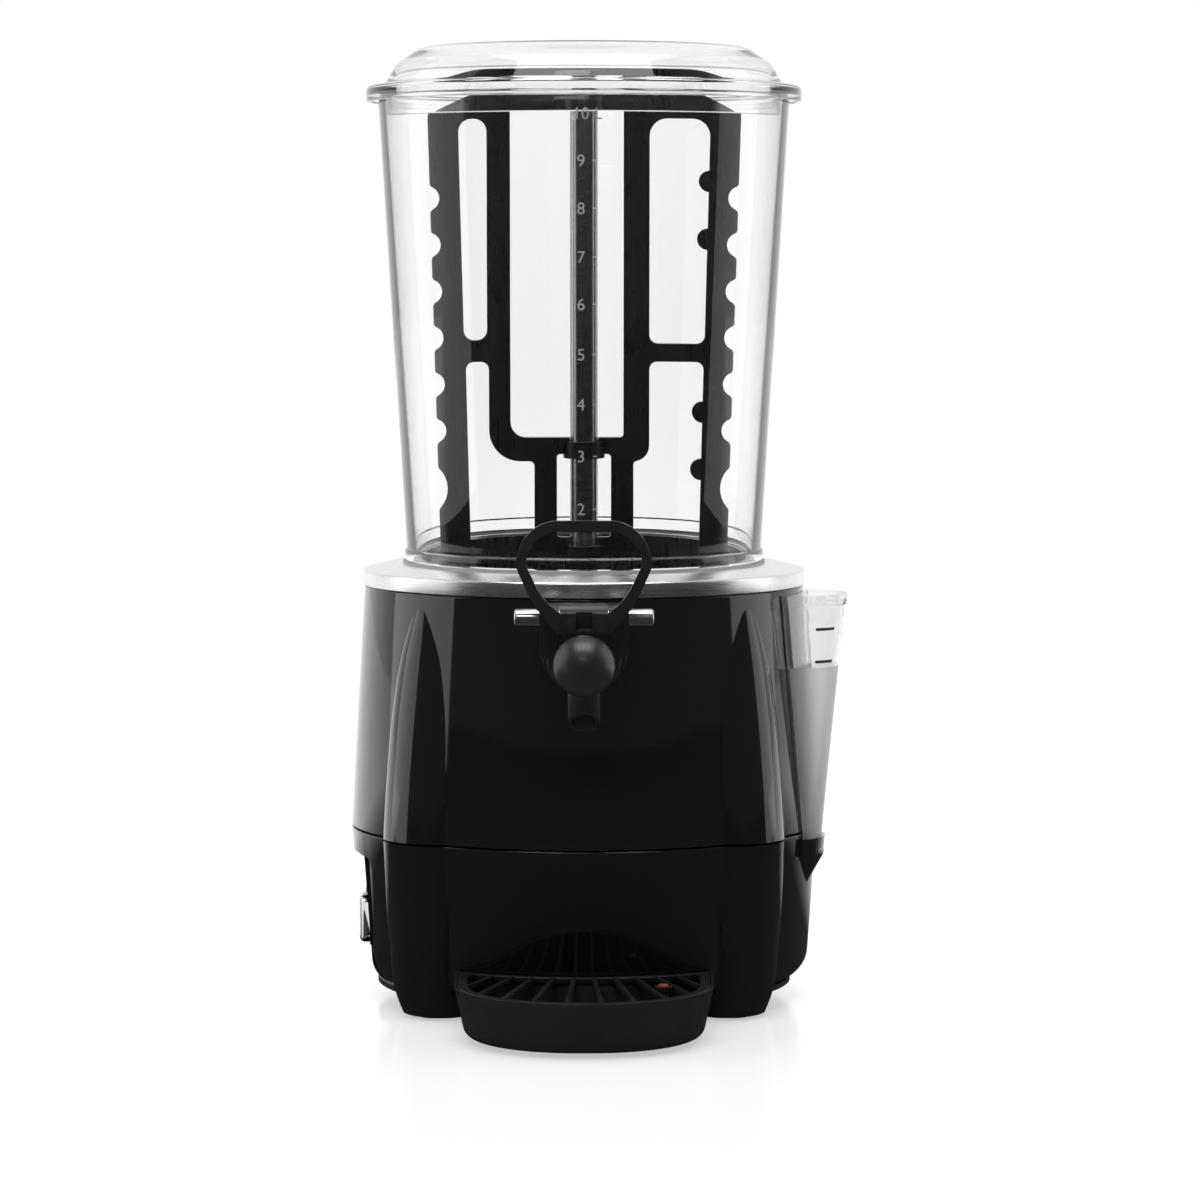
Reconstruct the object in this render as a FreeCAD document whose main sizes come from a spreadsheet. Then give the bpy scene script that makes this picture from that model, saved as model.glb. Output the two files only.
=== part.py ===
import FreeCAD, Part
import math
import os
import re
import Sketcher

# Hot drink dispenser: a heated base with a tap, a clear ten litre tank, a slow paddle and a drip tray.
# Origin on the table under the tank's axis, +Z up, the tap points to -Y. All sizes are millimetres.

SIZES = {
    # casing: a drum with two bulging front legs
    "wall": 3, "drum_top_r": 126, "drum_top_z": 238, "seam_r": 134, "seam_z": 99.6, "seam_gap": 0.8,
    "drum_low_r": 128, "drum_low_z": 12, "drum_low_round": 16, "deck_hole_r": 107, "lip_w": 2,
    "lip_up": 4, "lip_down": 8, "leg_turn": 46, "leg_sink": 12, "leg_pad": 1.5,
    # switch scoop on the left side
    "scoop_x": 120.5, "scoop_top": 86, "scoop_low": 12, "scoop_foot_x": 111, "scoop_foot_z": 28,
    "scoop_front": 46, "scoop_back": 56, "scoop_round": 9,
    # base plate and feet
    "plate_t": 3, "plate_r": 119, "air_slot_l": 72, "air_slot_w": 4, "air_slot_pitch": 9, "foot_r": 12, "foot_ring_r": 96, "foot_turn": 40, "pad_r": 9,
    "boss_r": 5.5, "boss_up": 18, "boss_ring_r": 108, "screw_r": 2, "head_r": 4, "head_t": 2.4,
    # top ring, product bowl and water bath
    "ring_r": 126.5, "ring_skirt_t": 2, "ring_side": 8.5, "ring_top_z": 250, "ring_flat_r": 112,
    "ring_t": 1.6, "ring_bore_r": 97.6, "bowl_r": 97, "bowl_t": 1.5, "bowl_flange_r": 111,
    "bowl_turn_z": 222, "bowl_floor_z": 204, "bowl_floor_r": 30, "bowl_round": 10,
    "tub_r": 105, "tub_t": 1.5, "tub_floor_z": 188.5, "tub_flange_r": 120, "gasket_in_r": 104.5,
    "gasket_out_r": 110, "coil_r": 60, "coil_wire_r": 4, "coil_leg": 18, "coil_flat": 0.3,
    # outlet from the bowl to the tap
    "tap_z": 210, "socket_r": 13, "socket_start": 60, "socket_end": 119, "socket_bore_r": 9.9,
    "socket_seat": 98, "outlet_r": 7, "grommet_t": 1.5, "grommet_flange": 3, "stem_gap": 0.1,
    # tank and lid
    "seat_t": 1.5, "seat_in_r": 98.5, "seat_out_r": 104, "tank_foot_r": 103, "tank_foot_h": 6,
    "tank_wall": 3, "tank_low_r": 101.8, "tank_top_r": 117.3, "tank_top_z": 516,
    "lid_r": 124, "lid_flange_z": 521.4, "lid_lip_z": 512.7, "lid_lip_t": 2.5, "lid_plug_gap": 1,
    "lid_plug_t": 2.1, "lid_plug_z": 503.7, "dome_foot_r": 114, "dome_side_r": 107, "dome_side_z": 534,
    "dome_top_r": 93, "dome_top_z": 543.5, "dome_crown": 1, "lid_t": 2.5, "dome_round": 14,
    # column and drive
    "tube_r": 8, "tube_wall": 1.5, "tube_top_z": 506, "tube_low_z": 178, "nut_r": 15, "nut_z": 181,
    "bush_h": 16, "shaft_r": 4, "shaft_gap": 0.05, "shaft_top_z": 517, "shaft_low_z": 168,
    "coupling_r": 10, "coupling_low_z": 158, "coupling_h": 18, "output_low_z": 138,
    "gear_l": 84, "gear_w": 58, "gear_h": 30, "gear_low_z": 120, "gear_boss_r": 14, "gear_boss_h": 5,
    "motor_r": 28, "motor_h": 58, "motor_cap_r": 12, "motor_cap_h": 6, "motor_back": 12, "bracket_t": 2.5,
    "bracket_reach": 72, "bracket_w": 50, "bracket_foot": 16,
    # paddle
    "paddle_t": 4, "paddle_top_z": 521, "arch_z": 507, "arch_right": 66, "arch_left": 62, "shoulder_z": 508,
    "paddle_x": 89.5, "paddle_low_x": 83.4, "paddle_flare_z": 262, "paddle_end_x": 83, "paddle_end_z": 229,
    "strip_in_x": 69, "right_bar_x": 22.8, "right_bar_w": 14.8, "left_bar_x": 42.3, "left_bar_w": 12.3,
    "leg_out_x": 28.5, "leg_in_x": 15.6, "cross_top_z": 315.5, "cross_low_z": 306, "bar_top_z": 258.6,
    "bar_low_z": 248.8, "slot_top_z": 496.5, "brace_top_z": 369, "brace_low_z": 358.8, "notch_r": 7,
    "notch_out": 1.6, "notch_top_z": 452, "notch_pitch": 26.4, "notch_soft": 2.5, "long_notch_r": 16,
    "long_notch_z": 287, "nub_r": 6, "nub_top_z": 461.2, "guide_r": 12, "guide_gap": 0.4, "guide_top_z": 254,
    "guide_low_z": 240, "hub_r": 13,
    # tap
    "barrel_r": 20, "barrel_front": 180, "flange_r": 24, "flange_front": 131, "block_half": 24,
    "block_up": 26, "slot_half": 13.3, "slot_floor": 11, "slot_back": 161, "pin_y": 172, "pin_up": 21,
    "pin_r": 4.85, "pin_gap": 0.05, "pin_len": 75, "pin_round": 1.5, "valve_r": 7, "spring_seat": 126,
    "spout_r": 8.9, "spout_bore_r": 6.5, "spout_y": 169, "spout_drop": 41, "spout_cut": 12.5,
    "hub_half": 13, "lever_hub_r": 8, "arm_back": 189, "arm_t": 5, "arm_low": 15, "neck_low": 14,
    "neck_h": 11, "loop_half": 37.4, "loop_top_z": 284.5, "loop_t": 6, "loop_back": 190, "loop_w": 5.2,
    "ball_r": 16.5, "ball_y": 205.5, "ball_drop": 2, "plunger_r": 4.4, "plunger_gap": 0.3, "seal_front": 156,
    "seal_t": 5, "seal_gap": 0.35, "spring_r": 5.4, "spring_wire_r": 0.6, "spring_turns": 6,
    # drip tray, grille and float
    "tray_top_z": 30, "tray_h": 28, "tray_half": 71.5, "tray_front": 223.5, "tray_back": 110,
    "tray_wall": 2.4, "tray_gap": 1, "tray_round": 66, "tray_taper": 12, "tray_step": 3, "grille_t": 3,
    "tab_x": 34, "tab_w": 10, "tab_z": 18, "tab_t": 3,
    "tab_root": 138, "tab_end": 114, "tab_gap": 0.3,
    "grille_rim": 5, "rib_t": 2.6, "rib_pitch": 4.85, "rib_far_r": 250, "rib_l": 150, "grille_gap": 0.5, "float_x": 43, "float_y": 161,
    "float_r": 2.8, "float_boss_r": 5, "float_gap": 0.4, "float_top_z": 31,
    # water gauge
    "gauge_turn": 15.5, "gauge_top_z": 234.5, "gauge_low_z": 86, "gauge_r": 28, "gauge_out": 27.2,
    "gauge_low_half": 18, "gauge_low_out": 5, "gauge_wall": 1.8, "gauge_gap": 0.8, "gauge_band": 6, "gauge_band_t": 0.8,
    "gauge_floor": 8, "cup_z": 68, "cup_wall": 2.2, "hose_r": 6, "hose_bore_r": 4, "hose_up_r": 80,
    "hose_z": 76, "hose_bend": 14,
    # switch, thermostat and cord inlet
    "switch_y": -18, "switch_z": 47, "switch_w": 24, "switch_h": 29, "switch_t": 2, "switch_depth": 20,
    "rocker_w": 15, "rocker_h": 21, "rocker_gap": 0.6, "rocker_tilt": 10, "rocker_out": 3, "rocker_in": 9,
    "rocker_pin_r": 1.5, "rocker_pivot": 3,
    "boot_t": 1, "boot_out": 8, "knob_y": 32, "knob_r": 12.5, "knob_h": 6.5, "knob_gap": 0.5,
    "knob_shaft_r": 3, "thermostat_w": 30, "thermostat_d": 18, "gland_z": 45, "gland_r": 9,
    "gland_out": 9, "gland_bore_r": 4, "block_l": 40, "block_w": 16, "block_h": 14, "block_y": 84,
}

# Where the four base screws stand round the axis, in degrees from +X.
SCREW_TURNS = (20, 70, 110, 160)

# Heights, push-out from the drum and half width of the leg's oval sections, from the table up.
LEG_SECTIONS = [
    ("leg_foot", 0, 3, 20), ("leg_ankle", 12, 8, 24), ("leg_shin", 40, 9.8, 27), ("leg_knee", 90, 10, 27.5),
    ("leg_thigh", 132, 9.5, 27), ("leg_hip", 177, 7.2, 25), ("leg_neck", 204, 4.5, 21), ("leg_tip", 229, 0.2, 13),
]
for section, height, out, half in LEG_SECTIONS:
    SIZES.update({section + "_z": height, section + "_out": out, section + "_half": half})

doc = FreeCAD.newDocument("drink_dispenser")
sheet = doc.addObject("Spreadsheet::Sheet", "sizes")
for row, (alias, number) in enumerate(SIZES.items(), 1):
    sheet.set(f"A{row}", alias)
    sheet.set(f"B{row}", str(number))
    sheet.setAlias(f"B{row}", alias)
doc.recompute()


def bound(text):
    """Put the sheet's name before each alias in a formula."""
    return re.sub(r"[a-z_]+[a-z0-9_]*", lambda word: "sizes." + word[0] if word[0] in SIZES else word[0], str(text))


def value(text):
    """The number that a formula gives now."""
    result = sheet.evalExpression(bound(text))
    return float(getattr(result, "Value", result))


def bind(thing, name, text):
    """Tie a property to a formula."""
    thing.setExpression(name, bound(text))


def place(thing, x=0, y=0, z=0, axis=(0, 0, 1), turn=0):
    """Set a placement whose position and turn follow formulas."""
    thing.Placement = FreeCAD.Placement(FreeCAD.Vector(0, 0, 0), FreeCAD.Rotation(FreeCAD.Vector(*axis), 1))
    for letter, text in zip("xyz", (x, y, z)):
        bind(thing, "Placement.Base." + letter, text)
    bind(thing, "Placement.Rotation.Angle", turn)
    return thing


def new_body(name):
    return doc.addObject("PartDesign::Body", name)


def new_sketch(body, plane="XZ", lift=0):
    """A sketch on one of the body's own planes, moved along that plane's normal."""
    sketch = body.newObject("Sketcher::SketchObject", body.Name + "_sketch")
    origin = {item.Role: item for item in body.Origin.OriginFeatures}
    sketch.AttachmentSupport = [(origin[plane + "_Plane"], "")]
    sketch.MapMode = "FlatFace"
    bind(sketch, "AttachmentOffset.Base.z", lift)
    return sketch


def pin_down(sketch, kind, geometry, point, text):
    """A driving dimension on one point or curve, tied to a formula."""
    spot = (geometry,) if point is None else (geometry, point)
    index = sketch.addConstraint(Sketcher.Constraint(kind, *spot, value(text)))
    sketch.setExpression(f"Constraints[{index}]", bound(text))


def outline(sketch, corners):
    """A closed outline. A corner is (across, up) or (across, up, radius), each a formula."""
    points = [FreeCAD.Vector(value(corner[0]), value(corner[1]), 0) for corner in corners]
    radii = [value(corner[2]) if len(corner) > 2 else 0 for corner in corners]
    count = len(points)
    arrive, middle, leave = [], [], []
    for index, (point, radius) in enumerate(zip(points, radii)):
        back = (points[index - 1] - point).normalize()
        ahead = (points[(index + 1) % count] - point).normalize()
        half = back.getAngle(ahead) / 2
        arrive.append(point + back * (radius / math.tan(half)))
        leave.append(point + ahead * (radius / math.tan(half)))
        middle.append(point + (back + ahead) * (radius * (1 / math.sin(half) - 1) / (back + ahead).Length))
    first = len(sketch.Geometry)
    for index in range(count):
        sketch.addGeometry(Part.LineSegment(leave[index], arrive[(index + 1) % count]), False)
    for index, corner in enumerate(corners):
        last, this = first + (index - 1) % count, first + index
        if radii[index] > 0:
            arc = sketch.addGeometry(Part.ArcOfCircle(arrive[index], middle[index], leave[index]), False)
            forward = sketch.getPoint(arc, 1).distanceToPoint(arrive[index]) < 1e-6
            near, far = (1, 2) if forward else (2, 1)
            spot = sketch.addGeometry(Part.Point(points[index]), True)
            sketch.addConstraint(Sketcher.Constraint("Tangent", last, 2, arc, near))
            sketch.addConstraint(Sketcher.Constraint("Tangent", arc, far, this, 1))
            sketch.addConstraint(Sketcher.Constraint("PointOnObject", spot, 1, last))
            sketch.addConstraint(Sketcher.Constraint("PointOnObject", spot, 1, this))
            pin_down(sketch, "Radius", arc, None, corner[2])
        else:
            sketch.addConstraint(Sketcher.Constraint("Coincident", last, 2, this, 1))
            spot = this
        pin_down(sketch, "DistanceX", spot, 1, corner[0])
        pin_down(sketch, "DistanceY", spot, 1, corner[1])
    return sketch


def circle(sketch, across, up, radius):
    """A circle whose centre and radius follow formulas."""
    centre = FreeCAD.Vector(value(across), value(up), 0)
    ring = sketch.addGeometry(Part.Circle(centre, FreeCAD.Vector(0, 0, 1), value(radius)), False)
    pin_down(sketch, "Radius", ring, None, radius)
    pin_down(sketch, "DistanceX", ring, 3, across)
    pin_down(sketch, "DistanceY", ring, 3, up)
    return sketch


def feature(body, kind, sketch, **settings):
    """A sketch-based feature; settings are its properties, and text settings are formulas."""
    step = body.newObject("PartDesign::" + kind, body.Name + "_" + kind.lower())
    step.Profile = sketch
    for name, setting in settings.items():
        if isinstance(setting, str) and name in ("Length", "Length2", "Angle", "TaperAngle"):
            bind(step, name, setting)
        else:
            setattr(step, name, setting)
    sketch.Visibility = False
    return step


def pad(body, sketch, length, middle=False, down=False, taper="0"):
    side = "Symmetric" if middle else "One side"
    return feature(body, "Pad", sketch, Length=length, SideType=side, Reversed=down, TaperAngle=taper)


def pocket(body, sketch, length, middle=False, up=False):
    side = "Symmetric" if middle else "One side"
    return feature(body, "Pocket", sketch, Length=length, SideType=side, Reversed=up)


def turned(body, sketch):
    """A full turn of the sketch about its upright axis."""
    return feature(body, "Revolution", sketch, ReferenceAxis=(sketch, ["V_Axis"]), Angle="360")


def lathe(name, corners):
    """A body turned about its own Z axis from one outline of (radius, height) corners."""
    body = new_body(name)
    turned(body, outline(new_sketch(body), corners))
    return body


def plate(name, plane, corners, length, lift=0, middle=False, down=False):
    """A body padded from one outline."""
    body = new_body(name)
    pad(body, outline(new_sketch(body, plane, lift), corners), length, middle, down)
    return body


def rounded(body, radius, wanted):
    """Fillet the edges of the body's tip for which wanted(edge) is true."""
    doc.recompute()
    tip = body.Tip
    names = [f"Edge{index}" for index, edge in enumerate(tip.Shape.Edges, 1) if wanted(edge)]
    step = body.newObject("PartDesign::Fillet", body.Name + "_fillet")
    step.Base = (tip, names)
    bind(step, "Radius", radius)
    return step


def cylinder(name, radius, length, x=0, y=0, z=0, axis=(0, 0, 1), turn=0):
    rod = doc.addObject("Part::Cylinder", name)
    bind(rod, "Radius", radius)
    bind(rod, "Height", length)
    return place(rod, x, y, z, axis, turn)


def box(name, low, high):
    """A box between two corners that follow formulas."""
    block = doc.addObject("Part::Box", name)
    for side, start, end in zip(("Length", "Width", "Height"), low, high):
        bind(block, side, f"({end}) - ({start})")
    return place(block, *low)


def joined(name, *shapes):
    whole = doc.addObject("Part::MultiFuse", name)
    whole.Shapes = list(shapes)
    whole.Refine = True
    return whole


def less(name, base, *tools):
    """The base with every tool cut away."""
    for index, tool in enumerate(tools):
        result = doc.addObject("Part::Cut", name if index == len(tools) - 1 else f"{name}_step{index}")
        result.Base, result.Tool = base, tool
        result.Refine = True
        base = result
    return base


def shared(name, *shapes):
    result = doc.addObject("Part::MultiCommon", name)
    result.Shapes = list(shapes)
    result.Refine = True
    return result


def copy(name, source, x=0, y=0, z=0, axis=(0, 0, 1), turn=0):
    """A linked copy of a solid at a place of its own."""
    twin = doc.addObject("Part::Compound", name)
    twin.Links = [source]
    return place(twin, x, y, z, axis, turn)


nodes = {}


def node(name, thing):
    """Register a finished sub-part under the name of its file."""
    thing.Label = name
    nodes[name] = thing
    return thing


def drum_radius(height):
    """The drum's outer radius at a height above the seam, as a formula."""
    share = f"(({height}) - seam_z) / (drum_top_z - seam_z)"
    return f"(seam_r + (drum_top_r - seam_r) * {share})"


def low_radius(height):
    """The drum's outer radius at a height below the seam, as a formula."""
    share = f"(({height}) - drum_low_z) / (seam_z - drum_low_z)"
    return f"(drum_low_r + (seam_r - drum_low_r) * {share})"


# Casing. One solid for the outside and one for the inside, each a turned drum joined to two lofted legs and
# cut by the switch scoop. The shell is what lies between, parted at the seam into an upper and a lower cover.

def drum(name, skin, low, high):
    """The drum's solid, taken in by skin, between two heights."""
    return lathe(name, [
        ("0", low), (f"drum_low_r - ({skin})", low, "drum_low_round"), (f"seam_r - ({skin})", "seam_z"),
        (f"{drum_radius(high)} - ({skin})", high), ("0", high)])


def leg(name, skin, side):
    """One front leg: a loft through upright oval sections that swell out of the drum and close at the tip."""
    rings = []
    for section, *_ in LEG_SECTIONS:
        height = f"{section}_z + leg_pad + ({skin})" if section == "leg_foot" else f"{section}_z"
        radius = drum_radius(height) if value(f"{section}_z") > value("seam_z") else low_radius(height)
        ring = doc.addObject("Part::Ellipse", f"{name}_{section}")
        bind(ring, "MajorRadius", f"{section}_half - ({skin})")
        bind(ring, "MinorRadius", f"leg_sink + {section}_out - ({skin})")
        place(ring, f"{side} * ({radius} - leg_sink) * sin(leg_turn)", f"-({radius} - leg_sink) * cos(leg_turn)",
              height, turn=f"{side} * leg_turn")
        rings.append(ring)
    loft = doc.addObject("Part::Loft", name)
    loft.Sections = rings
    loft.Solid = True
    return loft


def scoop(name, skin):
    """The hollow in the left side that holds the switch and the knob, made larger by skin."""
    return plate(name, "XZ", [
        ("-2 * seam_r", f"scoop_top + ({skin})"), (f"-scoop_x + ({skin})", f"scoop_top + ({skin})", "scoop_round"),
        (f"-scoop_x + ({skin})", "scoop_foot_z"), (f"-scoop_foot_x + ({skin})", f"scoop_low - ({skin})"),
        ("-2 * seam_r", f"scoop_low - ({skin})")],
        f"scoop_front + scoop_back + 2 * ({skin})", lift=f"-scoop_back - ({skin})")


outside = less("outside", joined("outside_full", drum("drum_out", "0", "drum_low_z", "drum_top_z"),
                                 leg("leg_out_right", "0", 1), leg("leg_out_left", "0", -1)),
               scoop("scoop_out", "0"))
inside = less("inside", joined("inside_full", drum("drum_in", "wall", "drum_low_z + wall", "drum_top_z - wall"),
                               leg("leg_in_right", "wall", 1), leg("leg_in_left", "wall", -1)),
              scoop("scoop_in", "wall"))
casing = less("casing", outside, inside, cylinder("deck_hole", "deck_hole_r", "2 * wall", z="drum_top_z - wall - 1"),
              cylinder("plate_hole", "plate_r - 7", "2 * wall", z="drum_low_z - 1"))
above = box("above_seam", ("-2 * seam_r", "-2 * seam_r", "seam_z + seam_gap / 2"),
            ("2 * seam_r", "2 * seam_r", "2 * drum_top_z"))
below = box("below_seam", ("-2 * seam_r", "-2 * seam_r", "-seam_r"),
            ("2 * seam_r", "2 * seam_r", "seam_z - seam_gap / 2"))
lip = shared("lip", inside, lathe("lip_ring", [
    ("seam_r - wall - 2 * lip_w", "seam_z - lip_down"), ("seam_r", "seam_z - lip_down"),
    ("seam_r", "seam_z - seam_gap"), ("seam_r - wall - 0.4", "seam_z - seam_gap"),
    ("seam_r - wall - 0.6", "seam_z + lip_up"), ("seam_r - wall - 0.4 - lip_w", "seam_z + lip_up")]))
bosses = [cylinder(f"boss_{turn}", "boss_r", "boss_up", f"boss_ring_r * cos({turn})", f"boss_ring_r * sin({turn})",
                   "drum_low_z") for turn in SCREW_TURNS]
boss_bores = [cylinder(f"boss_bore_{turn}", "screw_r", "boss_up - wall", f"boss_ring_r * cos({turn})",
                       f"boss_ring_r * sin({turn})", "drum_low_z - 1") for turn in SCREW_TURNS]
tray_slots = [box(f"tray_slot_{side}",
                  (f"{side} * tab_x - tab_w / 2 - tab_gap", "-seam_r", "tab_z - tab_gap"),
                  (f"{side} * tab_x + tab_w / 2 + tab_gap", "-tray_back", "tab_z + tab_t + tab_gap"))
              for side in (-1, 1)]
tap_hole = cylinder("tap_hole", "socket_r - 1", "2 * wall + 10", y="-drum_top_r + 8", z="tap_z", axis=(1, 0, 0),
                    turn=90)
hose_hole = new_body("hose_hole")
pad(hose_hole, circle(new_sketch(hose_hole, "YZ", f"{low_radius('hose_z')} - 14"), "0", "hose_z", "hose_r"), "24")
place(hose_hole, turn="-gauge_turn")
gland_hole = cylinder("gland_hole", "gland_r - 2", "24", y=f"{low_radius('gland_z')} + 12", z="gland_z",
                      axis=(1, 0, 0), turn=90)
switch_hole = box("switch_hole", ("-scoop_x - 4", "switch_y - switch_w / 2 + 2", "switch_z - switch_h / 2 + 2"),
                  ("-scoop_x + 8", "switch_y + switch_w / 2 - 2", "switch_z + switch_h / 2 - 2"))
knob_hole = cylinder("knob_hole", "knob_shaft_r + 0.5", "14", "-scoop_x - 5", "knob_y", "switch_z",
                     axis=(0, 1, 0), turn=90)
node("upper_shell", less("upper_shell", shared("upper_blank", casing, above), tap_hole))
node("lower_shell", less("lower_shell", joined("lower_blank", shared("lower_skin", casing, below), lip, *bosses),
                         *boss_bores, *tray_slots, hose_hole, gland_hole, switch_hole, knob_hole))

# Base plate with round cut-outs for the legs and slots that let cool air in.
disc = lathe("disc", [("0", "drum_low_z - plate_t"), ("plate_r", "drum_low_z - plate_t"), ("plate_r", "drum_low_z"),
                      ("0", "drum_low_z")])
slots = [box(f"air_slot_{index}", ("-air_slot_l / 2", f"({index} - 3) * air_slot_pitch", "drum_low_z - 2 * plate_t"),
             ("air_slot_l / 2", f"({index} - 3) * air_slot_pitch + air_slot_w", "drum_low_z + plate_t"))
         for index in range(6)]
plate_screw_holes = [cylinder(f"plate_bore_{turn}", "screw_r", "3 * plate_t", f"boss_ring_r * cos({turn})",
                              f"boss_ring_r * sin({turn})", "drum_low_z - 2 * plate_t") for turn in SCREW_TURNS]
node("base_plate", less("base_plate", disc, leg("leg_gap_right", "-0.3", 1), leg("leg_gap_left", "-0.3", -1),
                        *slots, *plate_screw_holes))

foot_parts = []
for side in (-1, 1):
    foot_parts.append(cylinder(f"rear_foot_{side}", "foot_r", "drum_low_z - plate_t",
                               f"{side} * foot_ring_r * sin(foot_turn)", "foot_ring_r * cos(foot_turn)"))
    middle_r = "(drum_low_r - leg_sink)"
    foot_parts.append(cylinder(f"leg_pad_{side}", "pad_r", "leg_pad", f"{side} * {middle_r} * sin(leg_turn)",
                               f"-{middle_r} * cos(leg_turn)"))
feet = doc.addObject("Part::Compound", "rubber_feet")
feet.Links = foot_parts
node("rubber_feet", feet)

screw_parts = [lathe(f"screw_{turn}", [
    ("0", "drum_low_z - plate_t - head_t"), ("head_r", "drum_low_z - plate_t - head_t"),
    ("head_r", "drum_low_z - plate_t"), ("screw_r", "drum_low_z - plate_t"),
    ("screw_r", "drum_low_z + boss_up - wall - 2"), ("0", "drum_low_z + boss_up - wall - 2")])
    for turn in SCREW_TURNS]
for screw, turn in zip(screw_parts, SCREW_TURNS):
    place(screw, f"boss_ring_r * cos({turn})", f"boss_ring_r * sin({turn})")
screws = doc.addObject("Part::Compound", "base_screws")
screws.Links = screw_parts
node("base_screws", screws)

# Pressed steel ring over the deck, the product bowl under it, and the water bath round the bowl.
node("top_ring", lathe("top_ring", [
    ("ring_r - ring_skirt_t", "drum_top_z"), ("ring_r", "drum_top_z"), ("ring_r", "drum_top_z + ring_side", "1.5"),
    ("ring_flat_r", "ring_top_z", "6"), ("ring_bore_r", "ring_top_z"), ("ring_bore_r", "ring_top_z - ring_t"),
    ("ring_flat_r", "ring_top_z - ring_t"), ("ring_r - ring_skirt_t", "drum_top_z + ring_side - ring_t")]))
bowl_top = "(ring_top_z - ring_t)"
bowl_blank = lathe("bowl_blank", [
    ("0", "bowl_floor_z"), ("bowl_floor_r", "bowl_floor_z"), ("bowl_r", "bowl_turn_z", "bowl_round"),
    ("bowl_r", f"{bowl_top} - bowl_t"), ("bowl_flange_r", f"{bowl_top} - bowl_t"), ("bowl_flange_r", bowl_top),
    ("0", bowl_top)])
bowl_hollow = lathe("bowl_hollow", [
    ("0", "bowl_floor_z + bowl_t"), ("bowl_floor_r", "bowl_floor_z + bowl_t"),
    ("bowl_r - bowl_t", "bowl_turn_z + bowl_t", "bowl_round - bowl_t"), ("bowl_r - bowl_t", f"{bowl_top} + 1"),
    ("0", f"{bowl_top} + 1")])
socket = cylinder("socket", "socket_r", "socket_end - socket_start", y="-socket_start", z="tap_z",
                  axis=(1, 0, 0), turn=90)
socket_bore = cylinder("socket_bore", "socket_bore_r", "socket_end - socket_seat + 1", y="-socket_seat", z="tap_z",
                       axis=(1, 0, 0), turn=90)
outlet = cylinder("outlet", "outlet_r", "socket_seat - 40", y="-40", z="tap_z", axis=(1, 0, 0), turn=90)
node("product_bowl", less("product_bowl", joined("bowl_and_socket", bowl_blank, socket), bowl_hollow, socket_bore,
                          outlet, cylinder("bowl_tube_hole", "tube_r", "20", z="bowl_floor_z - 10")))
node("bath_gasket", lathe("bath_gasket", [
    ("gasket_in_r", "drum_top_z + tub_t"), ("gasket_out_r", "drum_top_z + tub_t"),
    ("gasket_out_r", f"{bowl_top} - bowl_t"), ("gasket_in_r", f"{bowl_top} - bowl_t")]))
tub_blank = lathe("tub_blank", [
    ("tube_r", "tub_floor_z"), ("tub_r", "tub_floor_z", "8"), ("tub_r", "drum_top_z"), ("tub_flange_r", "drum_top_z"),
    ("tub_flange_r", "drum_top_z + tub_t"), ("tub_r - tub_t", "drum_top_z + tub_t"),
    ("tub_r - tub_t", "tub_floor_z + tub_t", "8 - tub_t"), ("tube_r", "tub_floor_z + tub_t")])
node("bath_tub", less("bath_tub", tub_blank, cylinder("tub_hole", "socket_r + grommet_t", "40", y="-tub_r + 20",
                                                       z="tap_z", axis=(1, 0, 0), turn=90),
                      cylinder("tub_drain", "hose_r", "10", "hose_up_r * cos(gauge_turn)",
                               "-hose_up_r * sin(gauge_turn)", "tub_floor_z - 2")))
grommet = lathe("outlet_grommet", [
    ("socket_r", "tub_r - tub_t - 3"), ("socket_r + grommet_t", "tub_r - tub_t - 3"),
    ("socket_r + grommet_t", "tub_r + 0.4"), ("socket_r + grommet_t + grommet_flange", "tub_r + 0.4"),
    ("socket_r + grommet_t + grommet_flange", "tub_r + 3"), ("socket_r", "tub_r + 3")])
node("outlet_grommet", place(grommet, z="tap_z", axis=(1, 0, 0), turn=90))
coil = doc.addObject("Part::Torus", "coil")
bind(coil, "Radius1", "coil_r")
bind(coil, "Radius2", "coil_wire_r")
place(coil, z="tub_floor_z - coil_wire_r + coil_flat")
coil_legs = [cylinder(f"coil_leg_{side}", "coil_wire_r * 0.7", "coil_leg", f"{side} * 9", "coil_r",
                      "tub_floor_z - coil_wire_r - coil_leg") for side in (-1, 1)]
node("heating_element", less("heating_element", joined("coil_whole", coil, *coil_legs),
                             box("coil_flat", ("-200", "-200", "tub_floor_z"), ("200", "200", "tub_floor_z + 20"))))

# Tank seat, tank and lid: turned from one thin outline each.
node("tank_gasket", lathe("tank_gasket", [
    ("seat_in_r", "ring_top_z"), ("seat_out_r", "ring_top_z"), ("seat_out_r", "ring_top_z + seat_t"),
    ("seat_in_r", "ring_top_z + seat_t")]))
tank_low = "(ring_top_z + seat_t)"
node("tank", lathe("tank", [
    ("seat_in_r", tank_low), ("tank_foot_r", tank_low, "1"), ("tank_foot_r", f"{tank_low} + tank_foot_h", "1"),
    ("tank_low_r", f"{tank_low} + tank_foot_h + 1"), ("tank_top_r", "tank_top_z", "0.8"),
    ("tank_top_r - tank_wall", "tank_top_z", "0.8"), ("tank_low_r - tank_wall", f"{tank_low} + tank_foot_h + 1"),
    ("seat_in_r", f"{tank_low} + tank_foot_h")]))
plug_r = "(tank_top_r - tank_wall - lid_plug_gap)"
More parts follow.
